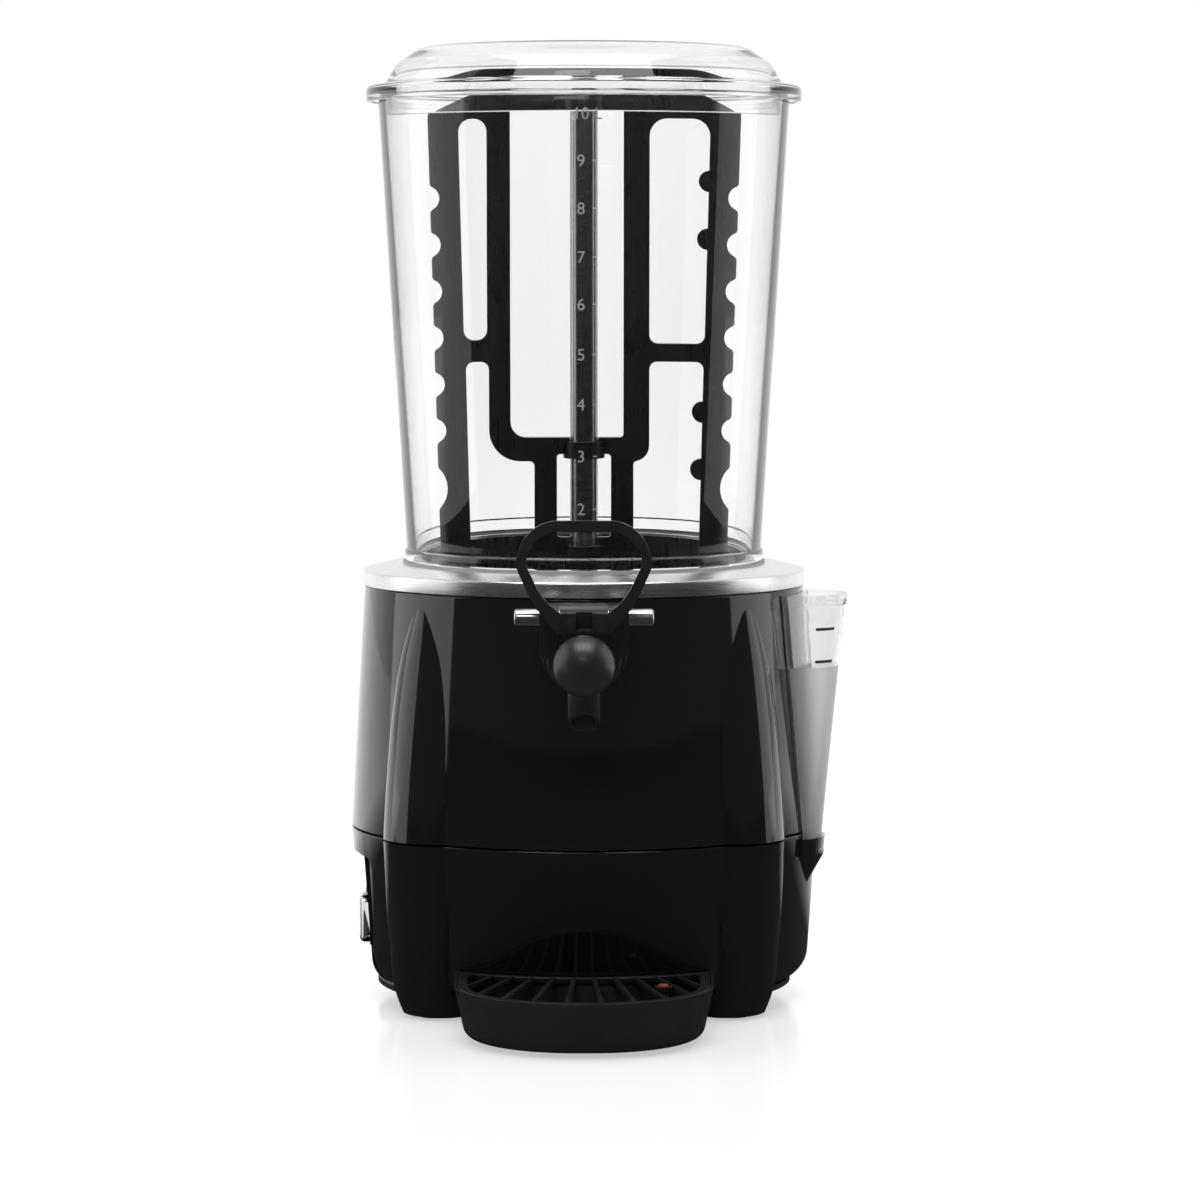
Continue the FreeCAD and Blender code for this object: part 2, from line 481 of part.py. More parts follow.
node("lid", lathe("lid", [
    ("0", "dome_top_z + dome_crown"), ("dome_top_r", "dome_top_z", "dome_round"),
    ("dome_side_r", "dome_side_z", "dome_round"), ("dome_foot_r", "lid_flange_z + 0.6", "3"),
    ("lid_r", "lid_flange_z", "2.4"), ("lid_r", "lid_lip_z", "1"), ("lid_r - lid_lip_t", "lid_lip_z", "1"),
    ("lid_r - lid_lip_t", "tank_top_z"), (plug_r, "tank_top_z"), (plug_r, "lid_plug_z", "0.8"),
    (f"{plug_r} - lid_plug_t", "lid_plug_z", "0.8"), (f"{plug_r} - lid_plug_t", "lid_flange_z - lid_t"),
    ("dome_side_r - lid_t", "dome_side_z - 1", "dome_round - lid_t"),
    ("dome_top_r - 1", "dome_top_z - lid_t", "dome_round - lid_t"), ("0", "dome_top_z + dome_crown - lid_t")]))

# Column: a steel tube through bowl and bath, its nut, and the two bushes of the drive shaft.
tube_in = "(tube_r - tube_wall)"
node("center_tube", lathe("center_tube", [
    (tube_in, "tube_low_z"), ("tube_r", "tube_low_z"), ("tube_r", "tube_top_z", "0.6"), (tube_in, "tube_top_z")]))
node("tube_nut", lathe("tube_nut", [
    ("tube_r", "nut_z"), ("nut_r", "nut_z", "1"), ("nut_r", "tub_floor_z"), ("tube_r", "tub_floor_z")]))
bush_parts = [lathe(f"bush_{end}", [
    ("shaft_r + shaft_gap", low), (tube_in, low), (tube_in, high), ("shaft_r + shaft_gap", high)])
    for end, low, high in (("low", "tube_low_z + 2", "tube_low_z + 2 + bush_h"),
                           ("high", "tube_top_z - 1 - bush_h", "tube_top_z - 1"))]
bushes = doc.addObject("Part::Compound", "shaft_bushes")
bushes.Links = bush_parts
node("shaft_bushes", bushes)
node("drive_shaft", lathe("drive_shaft", [
    ("0", "shaft_low_z"), ("shaft_r", "shaft_low_z"), ("shaft_r", "shaft_top_z", "0.8"), ("0", "shaft_top_z")]))
node("output_shaft", lathe("output_shaft", [
    ("0", "output_low_z"), ("shaft_r", "output_low_z"), ("shaft_r", "shaft_low_z"), ("0", "shaft_low_z")]))
node("shaft_coupling", lathe("shaft_coupling", [
    ("shaft_r", "coupling_low_z"), ("coupling_r", "coupling_low_z", "1"),
    ("coupling_r", "coupling_low_z + coupling_h", "1"), ("shaft_r", "coupling_low_z + coupling_h")]))

# Gear motor on a bent steel bracket that stands on the base plate.
bracket_top = "gear_low_z"
bracket = plate("bracket_strip", "YZ", [
    ("-bracket_reach - bracket_foot", "drum_low_z"), ("-bracket_reach", "drum_low_z"),
    ("-bracket_reach", f"{bracket_top} - bracket_t"), ("bracket_reach", f"{bracket_top} - bracket_t"),
    ("bracket_reach", "drum_low_z"), ("bracket_reach + bracket_foot", "drum_low_z"),
    ("bracket_reach + bracket_foot", "drum_low_z + bracket_t"),
    ("bracket_reach + bracket_t", "drum_low_z + bracket_t", "1"), ("bracket_reach + bracket_t", bracket_top, "4"),
    ("-bracket_reach - bracket_t", bracket_top, "4"), ("-bracket_reach - bracket_t", "drum_low_z + bracket_t", "1"),
    ("-bracket_reach - bracket_foot", "drum_low_z + bracket_t")], "bracket_w", middle=True)
node("motor_bracket", less("motor_bracket", bracket, cylinder("motor_opening", "motor_cap_r", "20", y="motor_back",
                                                               z="gear_low_z - 10")))
gear_case = plate("gear_case", "XY", [
    ("-gear_w / 2", "-gear_l / 2 + motor_back", "8"), ("gear_w / 2", "-gear_l / 2 + motor_back", "8"),
    ("gear_w / 2", "gear_l / 2 + motor_back", "8"), ("-gear_w / 2", "gear_l / 2 + motor_back", "8")],
    "gear_h", lift="gear_low_z")
gear_boss = cylinder("gear_boss", "gear_boss_r", "gear_boss_h", z="gear_low_z + gear_h")
node("gearbox", less("gearbox", joined("gear_blank", gear_case, gear_boss),
                     cylinder("output_bore", "shaft_r + shaft_gap", "60", z="output_low_z - 0.3")))
motor_low = "(gear_low_z - bracket_t - motor_h)"
motor = lathe("motor", [
    ("0", f"{motor_low} - motor_cap_h"), ("motor_cap_r", f"{motor_low} - motor_cap_h"),
    ("motor_cap_r", motor_low), ("motor_r", motor_low, "3"),
    ("motor_r", "gear_low_z - bracket_t"), ("motor_cap_r", "gear_low_z - bracket_t"), ("motor_cap_r", "gear_low_z"),
    ("0", "gear_low_z")])
node("motor", place(motor, y="motor_back"))

# Paddle: one moulded frame in the tank's middle plane, guided on the tube and driven from its hub at the top.
paddle = new_body("paddle")
frame_outline = [
    ("arch_right", "paddle_top_z", "30"), ("paddle_x + 0.6", "shoulder_z - 3", "12"), ("paddle_low_x", "paddle_flare_z"),
    ("paddle_end_x", "paddle_end_z", "6"), ("strip_in_x - 3", "paddle_end_z", "3"),
    ("strip_in_x", "brace_low_z", "4.6"), ("right_bar_x + right_bar_w", "brace_low_z", "4.6"),
    ("right_bar_x + right_bar_w", "cross_low_z - 4", "9"), ("leg_out_x", "cross_low_z - 4", "2"),
    ("leg_out_x", "bar_low_z", "2"), ("-leg_out_x", "bar_low_z", "2"), ("-leg_out_x", "cross_low_z - 4", "3"),
    ("-left_bar_x - left_bar_w", "cross_low_z - 4", "18"), ("-left_bar_x - left_bar_w", "brace_low_z", "4.6"),
    ("-strip_in_x + 1", "brace_low_z", "4.6"), ("-strip_in_x + 4", "paddle_end_z", "3"),
    ("-paddle_end_x", "paddle_end_z", "6"), ("-paddle_low_x", "paddle_flare_z"),
    ("-paddle_x", "shoulder_z - 3", "14"), ("-arch_left", "paddle_top_z", "30")]
pad(paddle, outline(new_sketch(paddle), frame_outline), "paddle_t", middle=True)
windows = new_sketch(paddle)
outline(windows, [("-left_bar_x", "arch_z", "3"), ("right_bar_x", "arch_z", "3"), ("right_bar_x", "cross_top_z", "2"),
                  ("-left_bar_x", "cross_top_z", "9")])
outline(windows, [("-leg_in_x", "cross_low_z", "2"), ("leg_in_x", "cross_low_z", "2"), ("leg_in_x", "bar_top_z", "2"),
                  ("-leg_in_x", "bar_top_z", "2")])
outline(windows, [("-left_bar_x - left_bar_w - 1", "slot_top_z", "7.5"), ("-strip_in_x - 3", "slot_top_z", "7.5"),
                  ("-strip_in_x", "brace_top_z + 2", "6"), ("-left_bar_x - left_bar_w - 1", "brace_top_z + 2", "6")])
outline(windows, [("right_bar_x + right_bar_w", "slot_top_z", "10"), ("strip_in_x + 3.5", "slot_top_z", "10"),
                  ("strip_in_x + 0.5", "brace_top_z", "5"), ("right_bar_x + right_bar_w", "brace_top_z", "5")])
pocket(paddle, windows, "3 * paddle_t", middle=True)
nubs = new_sketch(paddle)
for step in (0, 1, 4, 5):
    circle(nubs, f"strip_in_x + 2.8 - {step} * 0.9", f"nub_top_z - {step} * 1.24 * notch_pitch", "nub_r")
pad(paddle, nubs, "paddle_t", middle=True)
notches = new_sketch(paddle)
edge_lean = "(paddle_x - paddle_low_x) / (shoulder_z - 3 - paddle_flare_z)"
for side in (-1, 1):
    for step in range(6):
        height = f"(notch_top_z - {step} * notch_pitch)"
        circle(notches, f"{side} * (paddle_x - {edge_lean} * (shoulder_z - 3 - {height}) + notch_out)", height, "notch_r")
    circle(notches, f"{side} * (paddle_low_x + long_notch_r - notch_r + notch_out + 0.8)", "long_notch_z", "long_notch_r")
pocket(paddle, notches, "3 * paddle_t", middle=True)
rounded(paddle, "notch_soft", lambda edge: len(edge.Vertexes) == 2 and edge.BoundBox.YLength > value("paddle_t") * 0.9
        and abs(edge.CenterOfMass.x) > value("paddle_low_x - 3")
        and value("long_notch_z - 20") < edge.CenterOfMass.z < value("notch_top_z + 12"))
rings = []
for name, low, high in (("guide", "guide_low_z", "guide_top_z"), ("cross", "cross_low_z - 2", "cross_top_z + 2"),
                        ("hub", "arch_z - 2", "paddle_top_z + 1")):
    rings.append(cylinder(f"{name}_ring", "hub_r" if name == "hub" else "guide_r", f"{high} - {low}", z=low))
paddle_blank = joined("paddle_blank", paddle, *rings)
node("paddle", less("paddle", paddle_blank, cylinder("tube_way", "tube_r + guide_gap", "arch_z - 200", z="200"),
                    cylinder("hub_bore", "shaft_r", "shaft_top_z - arch_z + 1", z="arch_z - 1")))

# Tap body: a barrel turned about its own axis, a block with a slot for the lever, and the spout.
tap = new_body("tap_barrel")
turned(tap, outline(new_sketch(tap), [
    ("0", "socket_seat"), ("socket_bore_r - stem_gap", "socket_seat"), ("socket_bore_r - stem_gap", "socket_end"),
    ("socket_r - 1.5", "socket_end"), ("socket_r - 1.5", "socket_end + 1"), ("flange_r", "socket_end + 1"),
    ("flange_r", "flange_front", "2"), ("barrel_r", "flange_front"), ("barrel_r", "barrel_front", "1.5"),
    ("0", "barrel_front")]))
pad(tap, outline(new_sketch(tap, "XY", "flange_front - 4"), [
    ("-block_half", "0"), ("block_half", "0"), ("block_half", "block_up", "2"), ("-block_half", "block_up", "2")]),
    "barrel_front - flange_front + 4")
pad(tap, circle(new_sketch(tap, "XZ", "0"), "0", "spout_y", "spout_r"), "spout_drop", down=False)
pocket(tap, circle(new_sketch(tap, "XZ", "0"), "0", "spout_y", "spout_bore_r"), "spout_drop + 5", up=True)
pocket(tap, outline(new_sketch(tap, "YZ"), [
    ("-spout_drop - 1", "spout_y - spout_r"), ("-spout_drop + spout_cut", "spout_y + spout_r + 1"),
    ("-spout_drop - 1", "spout_y + spout_r + 1")]), "4 * spout_r", middle=True)
place(tap, z="tap_z", axis=(1, 0, 0), turn=90)
lever_slot = box("lever_slot", ("-slot_half", "-barrel_front - 5", "tap_z + slot_floor"),
                 ("slot_half", "-slot_back", "tap_z + block_up + 5"))
valve_bore = lathe("valve_bore", [
    ("0", "socket_seat - 5"), ("outlet_r - 1.5", "socket_seat - 5"), ("outlet_r - 1.5", "spring_seat"),
    ("valve_r", "spring_seat"), ("valve_r", "barrel_front - 5"), ("plunger_r + pin_gap", "barrel_front - 5"),
    ("plunger_r + pin_gap", "barrel_front + 5"), ("0", "barrel_front + 5")])
place(valve_bore, z="tap_z", axis=(1, 0, 0), turn=90)
pin_bore = cylinder("pin_bore", "pin_r", "120", "-60", "-pin_y", "tap_z + pin_up", axis=(0, 1, 0), turn=90)
drum_seat = less("drum_seat", drum("seat_drum", "0", "drum_low_z", "drum_top_z"),
                 cylinder("seat_hole", "socket_r - 1.5", "drum_top_r", z="tap_z", axis=(1, 0, 0), turn=90))
node("tap_body", less("tap_body", tap, drum_seat, lever_slot, valve_bore,
                      pin_bore))
pin = lathe("tap_pin", [("0", "-pin_len / 2"), ("pin_r", "-pin_len / 2", "pin_round"),
                        ("pin_r", "pin_len / 2", "pin_round"), ("0", "pin_len / 2")])
node("tap_pin", place(pin, y="-pin_y", z="tap_z + pin_up", axis=(0, 1, 0), turn=90))

# Tap lever: an upright finger loop, a neck with a window, a hub on the pin and an arm that pushes the plunger.
loop = new_body("loop")
half_loop = [("hub_half + 1.2", "tap_z + neck_low", "2"), ("loop_half - 10.4", "loop_top_z - 45", "40"),
             ("loop_half", "loop_top_z - 22.5", "14"), ("loop_half - 9", "loop_top_z", "22")]
inner_loop = [("hub_half - 4.5", "tap_z + neck_low + 7.8", "4"), ("loop_half - 15.1", "loop_top_z - 41.9", "34"),
              ("loop_half - loop_w - 0.4", "loop_top_z - 22.1", "10"), ("loop_half - 12.8", "loop_top_z - loop_w - 0.7", "17")]
for corners in (half_loop, inner_loop):
    mirrored = [("-(" + corner[0] + ")",) + corner[1:] for corner in reversed(corners)]
    shape = outline(new_sketch(loop, "XZ", "loop_back"), corners + mirrored)
    if corners is half_loop:
        pad(loop, shape, "loop_t")
    else:
        pocket(loop, shape, "loop_t + 1", up=True)
neck = box("neck", ("-hub_half", "-loop_back - loop_t + 1", "tap_z + neck_low"),
           ("hub_half", "-pin_y", "tap_z + neck_low + neck_h"))
arm = box("arm", ("-hub_half", "-arm_back - arm_t", "tap_z - arm_low"),
          ("hub_half", "-arm_back", "tap_z + neck_low + 2"))
hub = cylinder("lever_hub", "lever_hub_r", "2 * hub_half", "-hub_half", "-pin_y", "tap_z + pin_up",
               axis=(0, 1, 0), turn=90)
lever_bore = cylinder("lever_bore", "pin_r + pin_gap", "pin_len", "-pin_len / 2", "-pin_y", "tap_z + pin_up",
                      axis=(0, 1, 0), turn=90)
neck_window = box("neck_window", ("-4.4", "-loop_back - loop_t - 2", "tap_z + neck_low + 2"),
                  ("4.4", "-pin_y - lever_hub_r - 3", "tap_z + neck_low + neck_h + 2"))
node("tap_lever", less("tap_lever", joined("lever_blank", loop, neck, arm, hub), lever_bore, neck_window))
ball = doc.addObject("Part::Sphere", "ball")
bind(ball, "Radius", "ball_r")
place(ball, y="-ball_y", z="tap_z - ball_drop")
ball_back = box("ball_back", ("-2 * ball_r", "-arm_back - arm_t", "tap_z - 3 * ball_r"),
                ("2 * ball_r", "0", "tap_z + 3 * ball_r"))
node("tap_ball", less("tap_ball", ball, ball_back))

# Plunger with its seal, and the spring that closes the tap.
plunger = lathe("plunger", [
    ("0", "seal_front - seal_t - 2"), ("plunger_r + 1.2", "seal_front - seal_t - 2"),
    ("plunger_r + 1.2", "seal_front - seal_t"), ("plunger_r - 1.2", "seal_front - seal_t"),
    ("plunger_r - 1.2", "seal_front"), ("plunger_r", "seal_front"),
    ("plunger_r", "arm_back - plunger_gap", "3"), ("0", "arm_back - plunger_gap")])
node("plunger", place(plunger, z="tap_z", axis=(1, 0, 0), turn=90))
seal = lathe("plunger_seal", [
    ("plunger_r - 1.2", "seal_front - seal_t"), ("valve_r - seal_gap", "seal_front - seal_t", "1"),
    ("valve_r - seal_gap", "seal_front", "1"), ("plunger_r - 1.2", "seal_front")])
node("plunger_seal", place(seal, z="tap_z", axis=(1, 0, 0), turn=90))
spring = new_body("tap_spring")
wire = circle(new_sketch(spring), "spring_r", "0", "spring_wire_r")
spring_len = "(seal_front - seal_t - 2 - spring_seat - 2 * spring_wire_r)"
coils = spring.newObject("PartDesign::AdditiveHelix", "coils")
coils.Profile = wire
coils.ReferenceAxis = (wire, ["V_Axis"])
coils.Mode = 0
bind(coils, "Pitch", f"{spring_len} / spring_turns")
bind(coils, "Height", spring_len)
node("tap_spring", place(spring, y="-spring_seat - spring_wire_r", z="tap_z", axis=(1, 0, 0), turn=90))

# Drip tray: a tapered dish behind a round front, its back cut to the drum; then the slotted grille and the float.
def tray_corners(inset):
    """The tray's outline from above, taken in by inset: straight sides and a deep round front."""
    back, front, deep = f"-tray_back - ({inset})", f"-tray_front + ({inset})", f"tray_round - ({inset})"
    half, front_half = f"tray_half - ({inset})", f"tray_half - 2 - ({inset})"
    return [(half, back), (front_half, front, deep), (f"-({front_half})", front, deep), (f"-({half})", back)]


tray = new_body("tray_blank")
pad(tray, outline(new_sketch(tray, "XY", "tray_top_z"), tray_corners("0")), "tray_h", down=True, taper="-tray_taper")
rounded(tray, "7", lambda edge: edge.BoundBox.ZMax < value("tray_top_z - tray_h") + 0.01 and edge.BoundBox.YMin < -150)
tray_hollow = new_body("tray_hollow")
pad(tray_hollow, outline(new_sketch(tray_hollow, "XY", "tray_top_z + 1"), tray_corners("tray_wall")),
    "tray_h + 1 - tray_wall", down=True, taper="-tray_taper")
step = plate("tray_step", "XY", tray_corners("tray_wall - 0.8"), "tray_step + 5", lift="tray_top_z - tray_step")
drum_clear = lathe("drum_clear", [("0", "-5"), ("drum_low_r + tray_gap + 2", "-5"), ("drum_low_r + tray_gap + 2", "60"), ("0", "60")])
drum_wall = lathe("drum_wall", [("0", "-5"), ("drum_low_r + tray_gap + tray_wall + 2", "-5"),
                                ("drum_low_r + tray_gap + tray_wall + 2", "60"), ("0", "60")])
tray_solid = less("tray_solid", tray, drum_clear)
hollow_solid = less("hollow_solid", joined("hollow_and_step", tray_hollow, step), drum_wall)
tabs = [box(f"tray_tab_{side}", (f"{side} * tab_x - tab_w / 2", "-tab_root", "tab_z"),
            (f"{side} * tab_x + tab_w / 2", "-tab_end", "tab_z + tab_t")) for side in (-1, 1)]
node("drip_tray", less("drip_tray", joined("tray_and_tabs", tray_solid, *tabs), hollow_solid))
grille_plate = less("grille_plate", plate("grille_blank", "XY", tray_corners("tray_wall - 0.8 + grille_gap"), "grille_t",
                                          lift="tray_top_z - tray_step"),
                    lathe("grille_drum", [("0", "0"), ("drum_low_r + tray_gap + tray_wall + 2.5", "0"),
                                          ("drum_low_r + tray_gap + tray_wall + 2.5", "60"), ("0", "60")]))
grille_field = less("grille_field", plate("field_blank", "XY", tray_corners("tray_wall + grille_rim"), "3 * grille_t",
                                          lift="tray_top_z - tray_step - grille_t"),
                    lathe("field_drum", [("0", "0"), ("drum_low_r + tray_gap + tray_wall + grille_rim", "0"),
                                         ("drum_low_r + tray_gap + tray_wall + grille_rim", "60"), ("0", "60")]))
ribs = []
for index in range(12):
    turn = f"({index} - 5.5) * rib_pitch"
    rib = box(f"rib_{index}", ("0", "0", "0"), ("rib_t", "rib_l", "grille_t"))
    place(rib, f"rib_far_r * sin({turn}) - rib_t / 2 * cos({turn})",
          f"-rib_far_r * cos({turn}) - rib_t / 2 * sin({turn})", "tray_top_z - tray_step", turn=turn)
    ribs.append(rib)
rib_set = shared("rib_set", grille_plate, joined("rib_star", *ribs))
float_collar = cylinder("float_collar", "float_boss_r", "grille_t", "float_x", "-float_y", "tray_top_z - tray_step")
float_hole = cylinder("float_hole", "float_r + float_gap", "60", "float_x", "-float_y", "0")
node("drip_grille", less("drip_grille", joined("grille_whole", less("grille_frame", grille_plate, grille_field), rib_set,
                                               float_collar), float_hole))
float_foot = "(tray_top_z - tray_h + tray_wall)"
float_body = lathe("float", [
    ("0", float_foot), ("float_boss_r - 0.5", float_foot, "1"), ("float_boss_r - 0.5", f"{float_foot} + 8", "1"),
    ("float_r", f"{float_foot} + 8"), ("float_r", "float_top_z", "1.2"), ("0", "float_top_z")])
node("float", place(float_body, "float_x", "-float_y"))

# Water gauge: an open wedge-shaped cup with a band round its mouth, in a socket on the lower cover.
def gauge_loft(name, skin, low, high):
    """The gauge's wedge between two heights: a loft of two ovals centred on the drum's side, taken in by skin."""
    rings = []
    for end, height in (("low", low), ("high", high)):
        share = f"((({height}) - gauge_low_z) / (gauge_top_z - gauge_low_z))"
        radius = drum_radius(height) if value(height) > value("seam_z") else low_radius(height)
        ring = doc.addObject("Part::Ellipse", f"{name}_{end}")
        bind(ring, "MajorRadius", f"gauge_low_half + (gauge_r - gauge_low_half) * {share} - ({skin})")
        bind(ring, "MinorRadius", f"gauge_low_out + (gauge_out - gauge_low_out) * {share} - ({skin})")
        place(ring, f"{radius} * cos(gauge_turn)", f"-{radius} * sin(gauge_turn)", height, turn="90 - gauge_turn")
        rings.append(ring)
    loft = doc.addObject("Part::Loft", name)
    loft.Sections = rings
    loft.Solid = True
    return loft


def drum_cone(name, skin):
    """The drum's plain side, taken in by skin, long enough to trim what leans on it."""
    return lathe(name, [
        ("0", "20"), (f"{low_radius('20')} - ({skin})", "20"), (f"seam_r - ({skin})", "seam_z"),
        (f"{drum_radius('260')} - ({skin})", "260"), ("0", "260")])


cup_band = shared("cup_band", gauge_loft("band_loft", "-gauge_band_t", "gauge_low_z", "gauge_top_z"),
                  box("band_slab", ("-200", "-200", "gauge_top_z - gauge_band"), ("200", "200", "gauge_top_z")))
cup_outer = joined("cup_outer", gauge_loft("cup_loft", "0", "gauge_low_z", "gauge_top_z"), cup_band)
cup_inner = less("cup_inner", gauge_loft("cup_hollow_loft", "gauge_wall", "gauge_low_z + gauge_floor", "gauge_top_z + 1"),
                 drum_cone("cup_inner_drum", "-gauge_gap - gauge_wall"))
node("water_gauge", less("water_gauge", cup_outer, drum_cone("cup_drum", "-gauge_gap"), cup_inner))
socket_loft = shared("gauge_socket_blank", gauge_loft("socket_loft", "-cup_wall", "gauge_low_z", "gauge_top_z"),
                     box("socket_slab", ("-200", "-200", "gauge_low_z"), ("200", "200", "gauge_low_z + 10")))
socket_base = lathe("socket_base", [
    ("0", "cup_z"), ("10", "cup_z", "3"), ("gauge_low_half + cup_wall", "gauge_low_z", "2"),
    ("gauge_low_half + cup_wall", "gauge_low_z + cup_wall"), ("0", "gauge_low_z + cup_wall")])
place(socket_base, f"({low_radius('gauge_low_z')} - 12) * cos(gauge_turn)",
      f"-({low_radius('gauge_low_z')} - 12) * sin(gauge_turn)")
cup_solid = gauge_loft("cup_solid", "0", "gauge_low_z", "gauge_top_z")
node("gauge_socket", less("gauge_socket", joined("socket_whole", socket_loft, socket_base), cup_solid,
                          drum_cone("socket_drum", "0")))
hose = new_body("bath_hose")
hose_path = new_sketch(hose)
hose_far = f"({low_radius('hose_z')} - 1)"
route = [(hose_far, "hose_z"), ("hose_up_r + hose_bend", "hose_z"), ("hose_up_r", "hose_z + hose_bend"),
         ("hose_up_r", "tub_floor_z + tub_t")]
ends = [FreeCAD.Vector(value(across), value(up), 0) for across, up in route]
bend = FreeCAD.Vector(value("hose_up_r + hose_bend"), value("hose_z + hose_bend"), 0)
reach = value("hose_bend")
middle_point = bend + FreeCAD.Vector(-1, -1, 0) * (reach / math.sqrt(2))
hose_path.addGeometry(Part.LineSegment(ends[0], ends[1]), False)
hose_path.addGeometry(Part.ArcOfCircle(ends[1], middle_point, ends[2]), False)
hose_path.addGeometry(Part.LineSegment(ends[2], ends[3]), False)
near, far = (1, 2) if hose_path.getPoint(1, 1).distanceToPoint(ends[1]) < 1e-6 else (2, 1)
hose_path.addConstraint(Sketcher.Constraint("Tangent", 0, 2, 1, near))
hose_path.addConstraint(Sketcher.Constraint("Tangent", 1, far, 2, 1))
for line, point, spot in ((0, 1, route[0]), (2, 2, route[3])):
    pin_down(hose_path, "DistanceX", line, point, spot[0])
    pin_down(hose_path, "DistanceY", line, point, spot[1])
hose_path.addConstraint(Sketcher.Constraint("Horizontal", 0))
hose_path.addConstraint(Sketcher.Constraint("Vertical", 2))
pin_down(hose_path, "Radius", 1, None, "hose_bend")
hose_section = new_sketch(hose, "YZ", hose_far)
circle(hose_section, "0", "hose_z", "hose_r")
circle(hose_section, "0", "hose_z", "hose_bore_r")
sweep = hose.newObject("PartDesign::AdditivePipe", "hose_pipe")
sweep.Profile = hose_section
sweep.Spine = hose_path
node("bath_hose", place(hose, turn="-gauge_turn"))

# Switch, its clear boot, the thermostat with its knob, the cord inlet and the terminal block.
low_y, high_y = "(switch_y - switch_w / 2)", "(switch_y + switch_w / 2)"
low_z, high_z = "(switch_z - switch_h / 2)", "(switch_z + switch_h / 2)"
frame_blank = joined("frame_blank",
                     box("frame_flange", ("-scoop_x - switch_t", low_y, low_z), ("-scoop_x", high_y, high_z)),
                     box("frame_case", ("-scoop_x - 0.5", f"{low_y} + 2", f"{low_z} + 2"),
                         ("-scoop_x + switch_depth", f"{high_y} - 2", f"{high_z} - 2")))
rocker_pin_bore = cylinder("rocker_pin_bore", "rocker_pin_r + shaft_gap", "rocker_w + 4.6", x="-scoop_x + rocker_pivot",
                           y="switch_y - rocker_w / 2 - 2.3", z="switch_z", axis=(1, 0, 0), turn=-90)
node("switch_frame", less("switch_frame", frame_blank, rocker_pin_bore,
                          box("frame_well", ("-scoop_x - 5", "switch_y - rocker_w / 2 - rocker_gap",
                                             "switch_z - rocker_h / 2 - rocker_gap - 0.8"),
                              ("-scoop_x + rocker_in + 3", "switch_y + rocker_w / 2 + rocker_gap",
                               "switch_z + rocker_h / 2 + rocker_gap + 0.8"))))
rocker_parts = plate("rocker_wedge", "XZ", [
    ("-rocker_out - rocker_pivot", "0", "2"), ("-rocker_pivot", "rocker_h / 2", "1"), ("0", "rocker_h / 2 - 0.5"),
    ("rocker_in - rocker_pivot", "0", "3"), ("0", "-rocker_h / 2 + 0.5"), ("-rocker_pivot", "-rocker_h / 2", "1")],
    "rocker_w", middle=True)
rocker_pins = cylinder("rocker_pins", "rocker_pin_r", "rocker_w + 4", y="-rocker_w / 2 - 2", axis=(1, 0, 0),
                       turn=-90)
rocker_whole = joined("rocker_whole", rocker_parts, rocker_pins)
node("rocker", copy("rocker_placed", rocker_whole, "-scoop_x + rocker_pivot", "switch_y", "switch_z", axis=(0, 1, 0),
                    turn="rocker_tilt"))
boot_outer = plate("boot_outer", "YZ", [
    (f"{low_y} + 1", f"{low_z} + 1", "4"), (f"{high_y} - 1", f"{low_z} + 1", "4"),
    (f"{high_y} - 1", f"{high_z} - 1", "4"), (f"{low_y} + 1", f"{high_z} - 1", "4")],
    "boot_out - switch_t", lift="-scoop_x - boot_out")
rounded(boot_outer, "3", lambda edge: edge.BoundBox.XMax < value("-scoop_x - boot_out") + 0.01)
boot_inner = plate("boot_inner", "YZ", [
    (f"{low_y} + 1 + boot_t", f"{low_z} + 1 + boot_t", "3"), (f"{high_y} - 1 - boot_t", f"{low_z} + 1 + boot_t", "3"),
    (f"{high_y} - 1 - boot_t", f"{high_z} - 1 - boot_t", "3"), (f"{low_y} + 1 + boot_t", f"{high_z} - 1 - boot_t", "3")],
    "boot_out", lift="-scoop_x - boot_out + boot_t")
node("switch_boot", less("switch_boot", boot_outer, boot_inner))
knob = lathe("knob", [
    ("0", "2"), ("knob_shaft_r", "2"), ("knob_shaft_r", "-12"), ("0", "-12")])
knob_cap = lathe("thermostat_cap", [
    ("0", "knob_gap"), ("knob_r", "knob_gap", "0.8"), ("knob_r - 1", "knob_gap + knob_h", "1.5"), ("0", "knob_gap + knob_h")])
flutes = [cylinder(f"flute_{index}", "1.6", "20", f"(knob_r + 0.6) * cos({index} * 24)",
                   f"(knob_r + 0.6) * sin({index} * 24)", "-1") for index in range(15)]
knob_whole = less("thermostat_knob", joined("knob_whole", knob, knob_cap), *flutes)
knob_final = copy("knob_placed", knob_whole, "-scoop_x", "knob_y", "switch_z", axis=(0, 1, 0), turn=-90)
node("thermostat_knob", knob_final)
thermostat = less("thermostat", box("thermostat_case", ("-scoop_x + wall", "knob_y - thermostat_d / 2", "switch_z - 15"),
                                    ("-scoop_x + wall + thermostat_w", "knob_y + thermostat_d / 2", "switch_z + 15")),
                  cylinder("thermostat_bore", "knob_shaft_r + shaft_gap", "20", "-scoop_x", "knob_y", "switch_z",
                           axis=(0, 1, 0), turn=90))
node("thermostat", thermostat)
gland_r = low_radius("gland_z")
gland = lathe("cord_gland", [
    ("gland_bore_r", "-14"), ("gland_r - 2", "-14"), ("gland_r - 2", "-1"), ("gland_r", "0.4"), ("gland_r", "3", "1"),
    ("gland_r - 3", "gland_out", "1"), ("gland_bore_r", "gland_out")])
place(gland, y=gland_r, z="gland_z", axis=(1, 0, 0), turn=-90)
